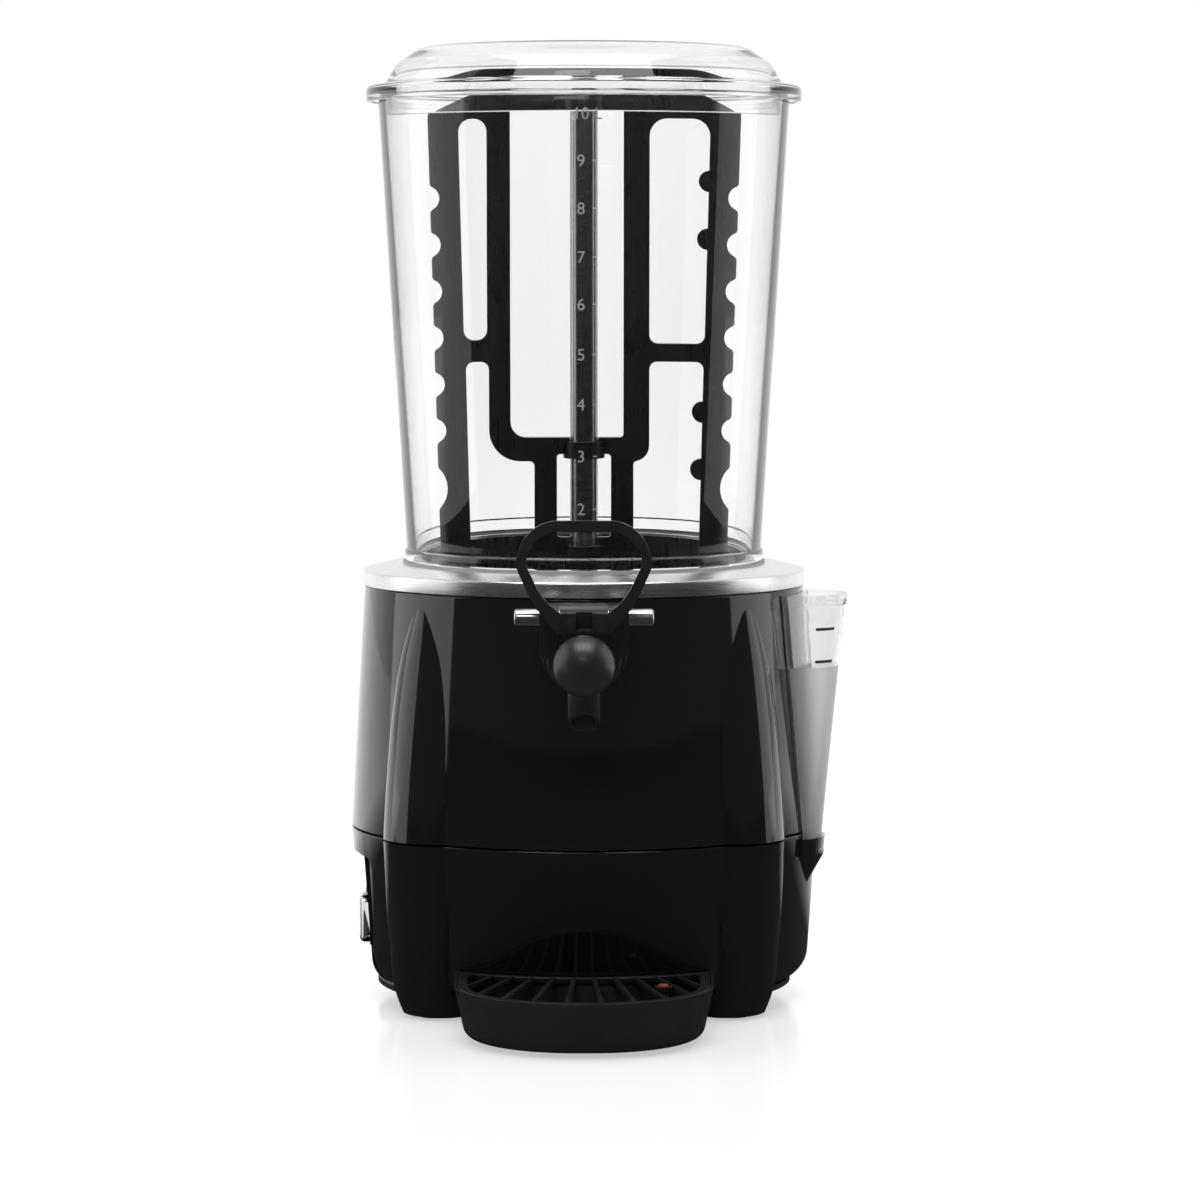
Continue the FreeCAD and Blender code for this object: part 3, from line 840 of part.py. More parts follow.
gland_seat = less("gland_seat", drum("gland_drum", "0", "drum_low_z", "drum_top_z"),
                  cylinder("gland_way", "gland_r - 2", "2 * drum_top_r", y="2 * drum_top_r", z="gland_z",
                           axis=(1, 0, 0), turn=90))
node("cord_gland", less("cord_gland", gland, gland_seat))
node("terminal_block", box("terminal_block", ("-block_l / 2 + 40", "block_y - 40", "drum_low_z"),
                           ("block_l / 2 + 40", "block_y - 40 + block_w", "drum_low_z + block_h")))

doc.recompute()
faults = [item.Name for item in doc.Objects if "Invalid" in item.State or "Error" in item.State]
if faults:
    raise SystemExit(f"failed objects: {faults}")
for name, thing in nodes.items():
    if thing.Shape.isNull() or not thing.Shape.isValid() or not thing.Shape.Solids:
        raise SystemExit(f"bad shape: {name}")
os.makedirs("parts", exist_ok=True)
for name, thing in nodes.items():
    thing.Shape.exportStep(f"parts/{name}.step")
print(f"{len(nodes)} sub-parts written")
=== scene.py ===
import bmesh
import bpy
import math
import numpy as np
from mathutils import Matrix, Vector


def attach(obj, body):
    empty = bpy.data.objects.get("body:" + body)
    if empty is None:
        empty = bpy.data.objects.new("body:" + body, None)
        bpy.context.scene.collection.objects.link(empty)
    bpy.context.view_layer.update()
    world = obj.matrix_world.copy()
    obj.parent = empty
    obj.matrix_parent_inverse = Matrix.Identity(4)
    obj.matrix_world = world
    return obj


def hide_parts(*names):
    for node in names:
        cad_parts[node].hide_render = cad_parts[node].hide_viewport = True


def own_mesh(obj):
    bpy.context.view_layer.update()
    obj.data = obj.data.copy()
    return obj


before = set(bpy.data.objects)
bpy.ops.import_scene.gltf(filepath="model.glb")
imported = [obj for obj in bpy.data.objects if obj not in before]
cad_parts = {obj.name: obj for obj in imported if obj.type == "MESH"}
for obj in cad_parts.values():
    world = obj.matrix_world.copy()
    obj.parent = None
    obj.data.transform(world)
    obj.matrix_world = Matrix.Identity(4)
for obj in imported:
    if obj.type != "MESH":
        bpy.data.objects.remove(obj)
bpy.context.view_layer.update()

# Studio. The camera stands two and a half metres in front, a little over the lid's lower half, with a long lens.
# A white sweep fills the view and shows through the clear parts. What the gloss reflects is a darker room, with a
# broad soft box on each side, one overhead, a small fill in front, and a floor that is dark ahead of the object.

scene = bpy.context.scene
scene.view_settings.view_transform = "Standard"
camera = bpy.data.objects.new("camera", bpy.data.cameras.new("camera"))
scene.collection.objects.link(camera)
camera.location = (0.0, -2.552, 0.418)
camera.rotation_euler = (math.radians(90 - 4.26), 0, math.radians(-0.2066))
camera.data.sensor_width = 36
camera.data.lens = 133.4
scene.camera = camera


def add(tree, kind, **settings):
    """A new node in a tree. Settings whose names are sockets set those sockets; the rest are the node's own."""
    made = tree.nodes.new(kind)
    for name, setting in settings.items():
        socket = name.replace("_", " ")
        if name.startswith("in_"):
            made.inputs[int(name[3:])].default_value = setting
        elif socket in made.inputs and not hasattr(made, name):
            made.inputs[socket].default_value = setting
        else:
            setattr(made, name, setting)
    return made


def wire(tree, *pairs):
    """Link outputs to inputs, pair by pair."""
    for start, end in pairs:
        tree.links.new(start, end)


room = bpy.data.worlds.new("studio_room")
room.use_nodes = True
scene.world = room
room.node_tree.nodes.clear()
path = add(room.node_tree, "ShaderNodeLightPath")
looked_at = add(room.node_tree, "ShaderNodeMath", operation="MAXIMUM")
sweep = add(room.node_tree, "ShaderNodeBackground", Color=(1, 1, 1, 1), Strength=1.0)
direction = add(room.node_tree, "ShaderNodeTexCoord")
axes = add(room.node_tree, "ShaderNodeSeparateXYZ")
behind = add(room.node_tree, "ShaderNodeMapRange", in_1=-0.15, in_2=0.8, in_3=0.07, in_4=0.95)
bounced = add(room.node_tree, "ShaderNodeMath", operation="ADD", use_clamp=True)
forward = add(room.node_tree, "ShaderNodeMapRange", in_1=0.05, in_2=-0.05)
inside = add(room.node_tree, "ShaderNodeMath", operation="MULTIPLY")
through = add(room.node_tree, "ShaderNodeMath", operation="SUBTRACT", use_clamp=True)
dim = add(room.node_tree, "ShaderNodeBackground", Color=(1, 1, 1, 1))
either = add(room.node_tree, "ShaderNodeMixShader")
out = add(room.node_tree, "ShaderNodeOutputWorld")
wire(room.node_tree, (path.outputs["Is Camera Ray"], looked_at.inputs[0]),
     (path.outputs["Is Transmission Ray"], through.inputs[0]), (path.outputs["Glossy Depth"], bounced.inputs[0]),
     (path.outputs["Diffuse Depth"], bounced.inputs[1]), (axes.outputs["Y"], forward.inputs[0]),
     (bounced.outputs[0], inside.inputs[0]), (forward.outputs[0], inside.inputs[1]),
     (inside.outputs[0], through.inputs[1]), (through.outputs[0], looked_at.inputs[1]),
     (direction.outputs["Generated"], axes.inputs[0]), (axes.outputs["Y"], behind.inputs[0]),
     (behind.outputs[0], dim.inputs["Strength"]), (looked_at.outputs[0], either.inputs[0]),
     (dim.outputs[0], either.inputs[1]), (sweep.outputs[0], either.inputs[2]), (either.outputs[0], out.inputs[0]))


def lamp(name, place, aim, width, height, power):
    """A rectangular soft light at a place, turned to face a point."""
    light = bpy.data.lights.new(name, "AREA")
    light.shape, light.size, light.size_y, light.energy = "RECTANGLE", width, height, power
    holder = bpy.data.objects.new(name, light)
    scene.collection.objects.link(holder)
    holder.location = place
    turn = np.array(aim) - np.array(place)
    holder.rotation_euler = Vector(turn).to_track_quat("-Z", "Y").to_euler()


lamp("soft_box_left", (-2.0, 0.05, 0.8), (0, 0, 0.3), 1.7, 1.9, 11)
lamp("soft_box_right", (2.0, 0.2, 0.8), (0, 0, 0.3), 1.2, 1.9, 7)
lamp("overhead", (0, -0.35, 1.9), (0, 0, 0.3), 1.5, 1.2, 26)
lamp("front_fill", (-0.3, -2.4, 1.7), (0, 0, 0.3), 0.9, 0.5, 5)

floor_mesh = bpy.data.meshes.new("floor")
floor_mesh.from_pydata([(-9, -6, 0), (9, -6, 0), (9, 14, 0), (-9, 14, 0)], [], [(0, 1, 2, 3)])
floor = bpy.data.objects.new("floor", floor_mesh)
scene.collection.objects.link(floor)
floor_paint = bpy.data.materials.new("floor_sweep")
floor_paint.use_nodes = True
tree = floor_paint.node_tree
board = tree.nodes["Principled BSDF"]
for socket, number in (("Base Color", (0.62, 0.62, 0.62, 1)), ("Roughness", 0.16), ("Specular IOR Level", 0.12)):
    board.inputs[socket].default_value = number
glow = add(tree, "ShaderNodeEmission", Color=(1, 1, 1, 1), Strength=0.5)
both = add(tree, "ShaderNodeAddShader")
dull = add(tree, "ShaderNodeBsdfDiffuse", Color=(0.04, 0.04, 0.04, 1))
swap = add(tree, "ShaderNodeMixShader")
path = add(tree, "ShaderNodeLightPath")
mirrored = add(tree, "ShaderNodeMath", operation="MULTIPLY", use_clamp=True)
spot = add(tree, "ShaderNodeTexCoord")
axes = add(tree, "ShaderNodeSeparateXYZ")
fore = add(tree, "ShaderNodeMapRange", in_1=0.6, in_2=0.2)
near_front = add(tree, "ShaderNodeMath", operation="MULTIPLY")
wire(tree, (board.outputs[0], both.inputs[0]), (glow.outputs[0], both.inputs[1]),
     (path.outputs["Is Glossy Ray"], mirrored.inputs[0]), (path.outputs["Glossy Depth"], mirrored.inputs[1]),
     (spot.outputs["Object"], axes.inputs[0]), (axes.outputs["Y"], fore.inputs[0]),
     (mirrored.outputs[0], near_front.inputs[0]), (fore.outputs[0], near_front.inputs[1]),
     (near_front.outputs[0], swap.inputs[0]), (both.outputs[0], swap.inputs[1]),
     (dull.outputs[0], swap.inputs[2]), (swap.outputs[0], tree.nodes["Material Output"].inputs["Surface"]))
floor_mesh.materials.append(floor_paint)


# Casing. A drum in two gloss black mouldings that meet at a fine groove, with two bulging front legs that grow
# out of both, and a recess for the switch on the left. Polished injection moulding with a little handling haze.

def new_group(name, sockets):
    """An empty effect group. Sockets are (name, is output, kind, starting value)."""
    group = bpy.data.node_groups.new(name, "ShaderNodeTree")
    for label, is_output, kind, start in sockets:
        socket = group.interface.new_socket(name=label, in_out="OUTPUT" if is_output else "INPUT",
                                            socket_type="NodeSocket" + kind)
        if start is not None:
            socket.default_value = start
    return group, group.nodes.new("NodeGroupInput"), group.nodes.new("NodeGroupOutput")


# Moulded surface: a soft haze and fine wipe marks change the roughness, and a fine grain gives a height.
moulded, given, result = new_group("moulded_surface", [
    ("Haze Size", False, "Float", 30.0), ("Grain Size", False, "Float", 1800.0), ("Smooth", False, "Float", 0.1),
    ("Dull", False, "Float", 0.2), ("Roughness", True, "Float", None), ("Height", True, "Float", None),
    ("Mottle", True, "Float", None)])
spot = add(moulded, "ShaderNodeTexCoord")
haze = add(moulded, "ShaderNodeTexNoise", Detail=3.0)
wipe_turn = add(moulded, "ShaderNodeMapping", in_3=(9.0, 9.0, 1.2))
wipes = add(moulded, "ShaderNodeTexNoise", Scale=60.0, Detail=2.0)
mixed = add(moulded, "ShaderNodeMath", operation="MULTIPLY")
spread = add(moulded, "ShaderNodeMapRange", in_1=0.15, in_2=0.42)
grain = add(moulded, "ShaderNodeTexNoise", Detail=1.0)
wire(moulded, (spot.outputs["Object"], haze.inputs["Vector"]), (given.outputs["Haze Size"], haze.inputs["Scale"]),
     (spot.outputs["Object"], wipe_turn.inputs["Vector"]), (wipe_turn.outputs[0], wipes.inputs["Vector"]),
     (haze.outputs[0], mixed.inputs[0]), (wipes.outputs[0], mixed.inputs[1]),
     (mixed.outputs[0], spread.inputs[0]), (given.outputs["Smooth"], spread.inputs[3]),
     (given.outputs["Dull"], spread.inputs[4]), (spread.outputs[0], result.inputs["Roughness"]),
     (spot.outputs["Object"], grain.inputs["Vector"]), (given.outputs["Grain Size"], grain.inputs["Scale"]),
     (grain.outputs[0], result.inputs["Height"]), (haze.outputs[0], result.inputs["Mottle"]))


def material(name, colour, second, smooth, dull, haze=30.0, grain=1800.0, depth=0.00001, **fixed):
    """A moulded or coated finish: two near colours mottled together, and the moulded surface's haze and grain.
    Fixed names are sockets of the shader, with a plain number or colour each."""
    paint = bpy.data.materials.new(name)
    paint.use_nodes = True
    tree = paint.node_tree
    shader = tree.nodes["Principled BSDF"]
    surface_marks = add(tree, "ShaderNodeGroup", node_tree=moulded)
    for socket, number in (("Haze Size", haze), ("Grain Size", grain), ("Smooth", smooth), ("Dull", dull)):
        surface_marks.inputs[socket].default_value = number
    mottle = add(tree, "ShaderNodeMix", data_type="RGBA", in_6=(*colour, 1), in_7=(*second, 1))
    bump = add(tree, "ShaderNodeBump", Strength=0.35, Distance=depth)
    wire(tree, (surface_marks.outputs["Roughness"], shader.inputs["Roughness"]),
         (surface_marks.outputs["Mottle"], mottle.inputs[0]), (mottle.outputs[2], shader.inputs["Base Color"]),
         (surface_marks.outputs["Height"], bump.inputs["Height"]), (bump.outputs[0], shader.inputs["Normal"]))
    for socket, number in fixed.items():
        shader.inputs[socket.replace("_", " ")].default_value = number
    return paint


def piece(name, mesh, paint, body, slot, *stands_for, sharp=32):
    """Finish a mesh as a piece: smooth faces with sharp edges past an angle, its paint and its body. The slot
    argument is not used.
    """
    mesh.shade_smooth()
    mesh.set_sharp_from_angle(angle=math.radians(sharp))
    mesh.materials.clear()
    mesh.materials.append(paint)
    made = bpy.data.objects.new(name, mesh)
    scene.collection.objects.link(made)
    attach(made, body)
    if stands_for:
        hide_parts(*stands_for)
    return made


def skin(name, *grids):
    """One mesh from grids of points in millimetres, each (points, round, ring): rows by columns by 3. Round joins
    the last column to the first, ring joins the last row to the first, and rows drawn to one point close a pole."""
    points, faces, start = [], [], 0
    for grid, is_round, is_ring in grids:
        rows, columns = grid.shape[:2]
        index = start + np.arange(rows * columns).reshape(rows, columns)
        index = np.hstack([index, index[:, :1]]) if is_round else index
        index = np.vstack([index, index[:1]]) if is_ring else index
        faces.append(np.stack([index[:-1, :-1], index[:-1, 1:], index[1:, 1:], index[1:, :-1]], -1).reshape(-1, 4))
        points.append(grid.reshape(-1, 3) / 1000)
        start += rows * columns
    mesh = bpy.data.meshes.new(name)
    mesh.from_pydata(np.concatenate(points).tolist(), [], np.concatenate(faces).tolist())
    work = bmesh.new()
    work.from_mesh(mesh)
    bmesh.ops.remove_doubles(work, verts=work.verts, dist=1e-6)
    bmesh.ops.recalc_face_normals(work, faces=work.faces)
    work.to_mesh(mesh)
    work.free()
    return mesh


def rounded(corners, steps=7):
    """Points (across, up) along an outline. A corner (across, up, radius) becomes an arc that touches both sides
    radius / tan(half its angle) away from the corner."""
    spots = np.array([corner[:2] for corner in corners], float)
    count, line = len(corners), []
    for index, corner in enumerate(corners):
        radius = corner[2] if len(corner) > 2 else 0
        if not radius:
            line.append(spots[index][None])
            continue
        back, ahead = spots[index - 1] - spots[index], spots[(index + 1) % count] - spots[index]
        back, ahead = back / np.hypot(*back), ahead / np.hypot(*ahead)
        half = math.acos(np.clip(back @ ahead, -1, 1)) / 2
        middle = spots[index] + (back + ahead) / np.hypot(*(back + ahead)) * radius / math.sin(half)
        first = spots[index] + back * radius / math.tan(half) - middle
        last = spots[index] + ahead * radius / math.tan(half) - middle
        sweep_angle = math.pi - 2 * half
        share = np.linspace(0, 1, steps)[:, None]
        line.append(middle + (np.sin((1 - share) * sweep_angle) * first + np.sin(share * sweep_angle) * last)
                    / math.sin(sweep_angle))
    return np.concatenate(line)


def turned(corners, closed=True, columns=192, steps=7):
    """A turned grid: each outline point (radius, height) goes round the Z axis as (r cos a, r sin a, height)."""
    line = rounded(corners, steps)
    angle = np.linspace(0, 2 * np.pi, columns, endpoint=False)
    grid = np.stack([line[:, :1] * np.cos(angle), line[:, :1] * np.sin(angle),
                     np.repeat(line[:, 1:], columns, 1)], -1)
    return grid, True, closed


gloss_black = material("gloss_black_moulding", (0.0065, 0.0065, 0.007), (0.009, 0.009, 0.0098), 0.035, 0.085,
                       haze=14.0, Coat_Weight=0.25, Coat_Roughness=0.03)
SEAM, GROOVE, WALL = 99.6, 0.4, 3
LEG_TURN, LEG_INSET = 46, 12
LEG_HEIGHTS = [0, 12, 40, 90, 132, 177, 204, 229]
LEG_OUT = [3, 8, 9.8, 10, 9.5, 7.2, 4.5, 0.2]
LEG_HALF = [20, 24, 27, 27.5, 27, 25, 21, 13]


def drum_radius(height):
    """Radius of the drum's side, a cone below the seam and one above it."""
    return np.interp(height, [12, SEAM, 238], [128, 134, 126])


def eased(height, heights, sizes):
    """Sizes along a smooth line through given heights: cubic pieces whose slopes are those of the points' own
    neighbours, h00 a + h10 s0 + h01 b + h11 s1."""
    heights, sizes = np.array(heights, float), np.array(sizes, float)
    slopes = np.gradient(sizes, heights)
    at = np.clip(np.searchsorted(heights, height) - 1, 0, len(heights) - 2)
    wide = heights[at + 1] - heights[at]
    t = (height - heights[at]) / wide
    return ((2 * t**3 - 3 * t**2 + 1) * sizes[at] + (t**3 - 2 * t**2 + t) * wide * slopes[at]
            + (3 * t**2 - 2 * t**3) * sizes[at + 1] + (t**3 - t**2) * wide * slopes[at + 1])


def leg(side, low, high):
    """One leg between two heights: upright ovals (middle + deep cos t, wide sin t), centred a little inside the
    drum's side, with the first and last rows drawn in to round the edge and then to one point."""
    heights = np.linspace(low, high, 60)
    heights = np.concatenate([[low, low, low + 0.35], heights[1:-1], [high - 0.35, high, high]])
    take_in = np.zeros(len(heights))
    take_in[[1, -2]] = 0.5
    a = math.radians(LEG_TURN)
    radial, across = np.array([side * math.sin(a), -math.cos(a)]), np.array([math.cos(a), side * math.sin(a)])
    t = np.linspace(0, 2 * np.pi, 96, endpoint=False)[None]
    deep = (LEG_INSET + eased(heights, LEG_HEIGHTS, LEG_OUT) - take_in)[:, None]
    wide = (eased(heights, LEG_HEIGHTS, LEG_HALF) - take_in)[:, None]
    deep[[0, -1]], wide[[0, -1]] = 0, 0
    middle = (drum_radius(heights) - LEG_INSET)[:, None]
    flat = (middle + deep * np.cos(t))[..., None] * radial + (wide * np.sin(t))[..., None] * across
    return np.concatenate([flat, np.repeat(heights[:, None, None], t.shape[1], 1)], -1), True, False


upper_low, lower_high = SEAM + GROOVE, SEAM - GROOVE
upper_drum = turned([(131, upper_low), (134, upper_low, 0.7), (126, 238, 1.5), (107, 238), (107, 235), (123.2, 235)])
piece("casing_upper", skin("casing_upper", upper_drum, leg(-1, upper_low, 229), leg(1, upper_low, 229)),
      gloss_black, "base", "gloss_black", "upper_shell")

SCOOP_FRONT, SCOOP_REAR, SCOOP_TOP, SCOOP_ROUND = -46, 56, 86, 9
scoop_rows = [float(height) for height in (30, 40, 50, 60, 70, 77, 80, 83, 85.8, 86.2)]
# The scoop's two upright edges run down columns of the drum, and between them its wall is pushed in to a flat back
# whose top curves out to the drum's side.
lower_drum = turned([(112, 12), (128, 12, 16)] + [(float(drum_radius(height)), height) for height in scoop_rows]
                    + [(134, lower_high, 0.7), (131, lower_high)]
                    + [(float(drum_radius(height)) - WALL, height) for height in scoop_rows[::-1]]
                    + [(125, 15, 13), (112, 15)], columns=240, steps=10)
side = lower_drum[0]
radius = np.hypot(side[..., 0], side[..., 1])
angle = np.arctan2(side[..., 1], side[..., 0])
angle = np.where(angle < 0, angle + 2 * np.pi, angle)
for edge, sign in ((SCOOP_FRONT, 1), (SCOOP_REAR, -1)):
    start = math.pi - math.asin(edge / 131)
    near = int(np.argmin(np.abs(angle[0] - start)))
    for column, offset in ((near, 0.2), (near + sign, -0.2)):
        height = edge + np.sign(edge) * offset
        angle[:, column] = np.pi - np.arcsin(height / radius[:, column])
side[..., 0], side[..., 1] = radius * np.cos(angle), radius * np.sin(angle)
back_wall = np.interp(side[..., 2], [12, 28], [-111, -120.5])
ceiling = np.clip(side[..., 2] - (SCOOP_TOP - SCOOP_ROUND), 0, SCOOP_ROUND - 0.01)
back_wall = back_wall - (SCOOP_ROUND - np.sqrt(SCOOP_ROUND**2 - ceiling**2))
inner = radius < drum_radius(side[..., 2]) - WALL / 2
in_scoop = ((side[..., 2] < SCOOP_TOP) & (side[..., 1] > SCOOP_FRONT) & (side[..., 1] < SCOOP_REAR)
            & (side[..., 0] < 0))
side[..., 0] = np.where(in_scoop, np.maximum(side[..., 0], back_wall + np.where(inner, WALL, 0)), side[..., 0])
piece("casing_lower", skin("casing_lower", lower_drum, leg(-1, 1.5, lower_high), leg(1, 1.5, lower_high)),
      gloss_black, "base", "gloss_black", "lower_shell", sharp=40)

# Underside. A black pressed plate closes the drum from below on four screws, and rubber feet stand behind it.

satin_black = material("satin_black_moulding", (0.011, 0.011, 0.0115), (0.016, 0.016, 0.0168), 0.3, 0.46, haze=45.0,
                       grain=2600.0, depth=0.00004)
rubber = material("black_rubber", (0.016, 0.016, 0.016), (0.03, 0.029, 0.028), 0.6, 0.85, haze=90.0, depth=0.00005)
steel = material("polished_steel", (0.60, 0.60, 0.59), (0.70, 0.70, 0.69), 0.14, 0.3, haze=60.0, Metallic=1.0)


def dress(paint, *names):
    """Give CAD nodes their paint. Their shapes are right as they are."""
    for name in names:
        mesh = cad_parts[name].data
        mesh.materials.clear()
        mesh.materials.append(paint)


dress(satin_black, "base_plate")
dress(rubber, "rubber_feet", "outlet_grommet")
dress(steel, "base_screws", "bath_tub", "tube_nut", "output_shaft", "shaft_coupling", "heating_element")

# Top ring. Spun stainless steel over the drum's rim, brushed round its axis, with a rounded shoulder and a bore
# for the bowl. The bowl under it is dark coated steel.

brushed, given, result = new_group("turned_brushing", [
    ("Fine", False, "Float", 900.0), ("Smooth", False, "Float", 0.2), ("Dull", False, "Float", 0.36),
    ("Roughness", True, "Float", None), ("Height", True, "Float", None), ("Tone", True, "Float", None)])
spot = add(brushed, "ShaderNodeTexCoord")
axes = add(brushed, "ShaderNodeSeparateXYZ")
flat = add(brushed, "ShaderNodeVectorMath", operation="MULTIPLY", in_1=(1, 1, 0))
reach = add(brushed, "ShaderNodeVectorMath", operation="LENGTH")
round_way = add(brushed, "ShaderNodeMath", operation="ARCTAN2")
slow = add(brushed, "ShaderNodeMath", operation="MULTIPLY", in_1=0.004)
lines = add(brushed, "ShaderNodeCombineXYZ")
streaks = add(brushed, "ShaderNodeTexNoise", Detail=4.0)
spread = add(brushed, "ShaderNodeMapRange", in_1=0.3, in_2=0.7)
wire(brushed, (spot.outputs["Object"], axes.inputs[0]), (spot.outputs["Object"], flat.inputs[0]),
     (flat.outputs[0], reach.inputs[0]), (axes.outputs["Y"], round_way.inputs[0]),
     (axes.outputs["X"], round_way.inputs[1]), (round_way.outputs[0], slow.inputs[0]),
     (reach.outputs["Value"], lines.inputs[0]), (axes.outputs["Z"], lines.inputs[1]),
     (slow.outputs[0], lines.inputs[2]), (lines.outputs[0], streaks.inputs["Vector"]),
     (given.outputs["Fine"], streaks.inputs["Scale"]), (streaks.outputs[0], spread.inputs[0]),
     (given.outputs["Smooth"], spread.inputs[3]), (given.outputs["Dull"], spread.inputs[4]),
     (spread.outputs[0], result.inputs["Roughness"]), (streaks.outputs[0], result.inputs["Height"]),
     (streaks.outputs[0], result.inputs["Tone"]))


def brushed_steel(name, dark, light, smooth, dull, fine):
    """Bright steel with turned brush lines in its tone, roughness and height."""
    paint = bpy.data.materials.new(name)
    paint.use_nodes = True
    tree = paint.node_tree
    shader = tree.nodes["Principled BSDF"]
    marks = add(tree, "ShaderNodeGroup", node_tree=brushed)
    for socket, number in (("Fine", fine), ("Smooth", smooth), ("Dull", dull)):
        marks.inputs[socket].default_value = number
    tone = add(tree, "ShaderNodeMix", data_type="RGBA", in_6=(*dark, 1), in_7=(*light, 1))
    bump = add(tree, "ShaderNodeBump", Strength=0.25, Distance=0.000005)
    shader.inputs["Metallic"].default_value = 1.0
    wire(tree, (marks.outputs["Tone"], tone.inputs[0]), (tone.outputs[2], shader.inputs["Base Color"]),
         (marks.outputs["Roughness"], shader.inputs["Roughness"]),
         (marks.outputs["Height"], bump.inputs["Height"]), (bump.outputs[0], shader.inputs["Normal"]))
    return paint


ring_steel = brushed_steel("brushed_ring_steel", (0.80, 0.80, 0.795), (0.86, 0.86, 0.855), 0.24, 0.31, 1100.0)
piece("steel_ring", skin("steel_ring", turned([
    (124.5, 238), (126.5, 238, 0.4), (126.5, 246.5, 1.5), (112, 250, 6), (97.6, 250, 0.5), (97.6, 248.4),
    (112, 248.4), (124.5, 244.9)], columns=256)), ring_steel, "base", "steel", "top_ring")
dark_coat = material("dark_coated_steel", (0.07, 0.07, 0.072), (0.11, 0.11, 0.112), 0.22, 0.4, haze=50.0,
                     Metallic=0.7)
silicone = material("grey_silicone", (0.42, 0.42, 0.41), (0.5, 0.5, 0.49), 0.45, 0.6, haze=80.0)
dress(dark_coat, "product_bowl")
dress(silicone, "bath_gasket", "tank_gasket", "plunger_seal", "bath_hose")

# Tank. A clear blow-moulded cone that stands on its seat in the ring, a little wider at its mouth, with the
# litre figures and a short tick each printed on the front wall.


def clear(name, tint, smooth, dull, **fixed):
    """Clear plastic: near white tint, almost smooth, with faint haze."""
    return material(name, tint, tuple(min(1, part * 1.005) for part in tint), smooth, dull, haze=8.0, grain=400.0,
                    depth=0.000002, Transmission_Weight=1.0, IOR=1.49, **fixed)


clear_tank = clear("clear_tank_plastic", (0.995, 0.996, 0.997), 0.0, 0.012)
piece("clear_tank", skin("clear_tank", turned([
    (98.5, 251.5), (103, 251.5, 1), (103, 257.5, 1), (101.8, 258.5), (117.3, 516, 0.8), (114.3, 516, 0.8),
    (98.8, 258.5), (98.5, 257.5)], columns=256)), clear_tank, "tank", "clear_plastic", "tank")


def on_tank(flat):
    """Bend flat points (across, up, out) in metres round the tank's front wall at its own slope."""
    wall = np.interp(flat[:, 1] * 1000, [258.5, 516], [101.8, 117.3]) / 1000 + flat[:, 2]
    angle = flat[:, 0] / wall
    return np.stack([wall * np.sin(angle), -wall * np.cos(angle), flat[:, 1]], -1)


def figure(text, across, up, size):
    """Points and faces of a figure, flat and upright, centred at a place on the tank's front."""
    curve = bpy.data.curves.new("figure", "FONT")
    curve.body, curve.size, curve.extrude, curve.align_x = text, size, 0.00012, "CENTER"
    holder = bpy.data.objects.new("figure", curve)
    scene.collection.objects.link(holder)
    bpy.context.view_layer.update()
    mesh = bpy.data.meshes.new_from_object(holder.evaluated_get(bpy.context.evaluated_depsgraph_get()))
    points = np.array([vertex.co[:] for vertex in mesh.vertices])
    faces = [list(face.vertices) for face in mesh.polygons]
    bpy.data.objects.remove(holder)
    return points + np.array([across, up - size * 0.35, 0]), faces


points, faces = [], []
FIGURE_SIZE, TICK_HALF, PRINT_THICK = 0.0092, 0.0003, 0.00012
marks = [("10 L", 502.6), ("9", 477), ("8", 451), ("7", 424.5), ("6", 398.6), ("5", 371), ("4", 343.6), ("3", 315),
         ("2", 285.8)]
for text, height in marks:
    spots, shapes = figure(text, -0.0016 if len(text) == 1 else 0.002, height / 1000, FIGURE_SIZE)
    faces += [[index + sum(map(len, points)) for index in shape] for shape in shapes]
    points.append(spots)
    if len(text) == 1:
        tick = np.array([(x, height / 1000 + z, out) for out in (-0.0001, PRINT_THICK)
                         for z in (-TICK_HALF, TICK_HALF) for x in (0.0048, 0.0072)])
        start = sum(map(len, points))
        faces += [[start + index for index in shape] for shape in
                  ((0, 1, 3, 2), (4, 6, 7, 5), (0, 4, 5, 1), (2, 3, 7, 6), (0, 2, 6, 4), (1, 5, 7, 3))]
        points.append(tick)
mesh = bpy.data.meshes.new("litre_figures")
mesh.from_pydata(on_tank(np.concatenate(points)).tolist(), [], faces)
print_grey = material("print_grey", (0.30, 0.30, 0.31), (0.42, 0.42, 0.43), 0.4, 0.6, haze=400.0)
piece("litre_figures", mesh, print_grey, "tank", "clear_plastic")

# Lid. A clear pressed dome with a broad flange over the tank's mouth and a plug ring that drops inside it.

piece("clear_lid", skin("clear_lid", turned([
    (0, 544.5), (93, 543.5, 14), (107, 534, 14), (114, 522, 3), (124, 521.4, 2.4), (124, 512.7, 1), (121.5, 512.7, 1),
    (121.5, 516), (113.3, 516), (113.3, 503.7, 0.8), (111.2, 503.7, 0.8), (111.2, 518.9), (104.5, 533, 11.5),
    (92, 541, 11.5), (0, 542)][::-1], closed=False, columns=256)), clear_tank, "lid", "clear_plastic", "lid")

# Column and paddle. A steel tube rises through the bowl and carries the drive shaft to the paddle's hub. The
# paddle is one satin black moulded frame with wavy outer edges.


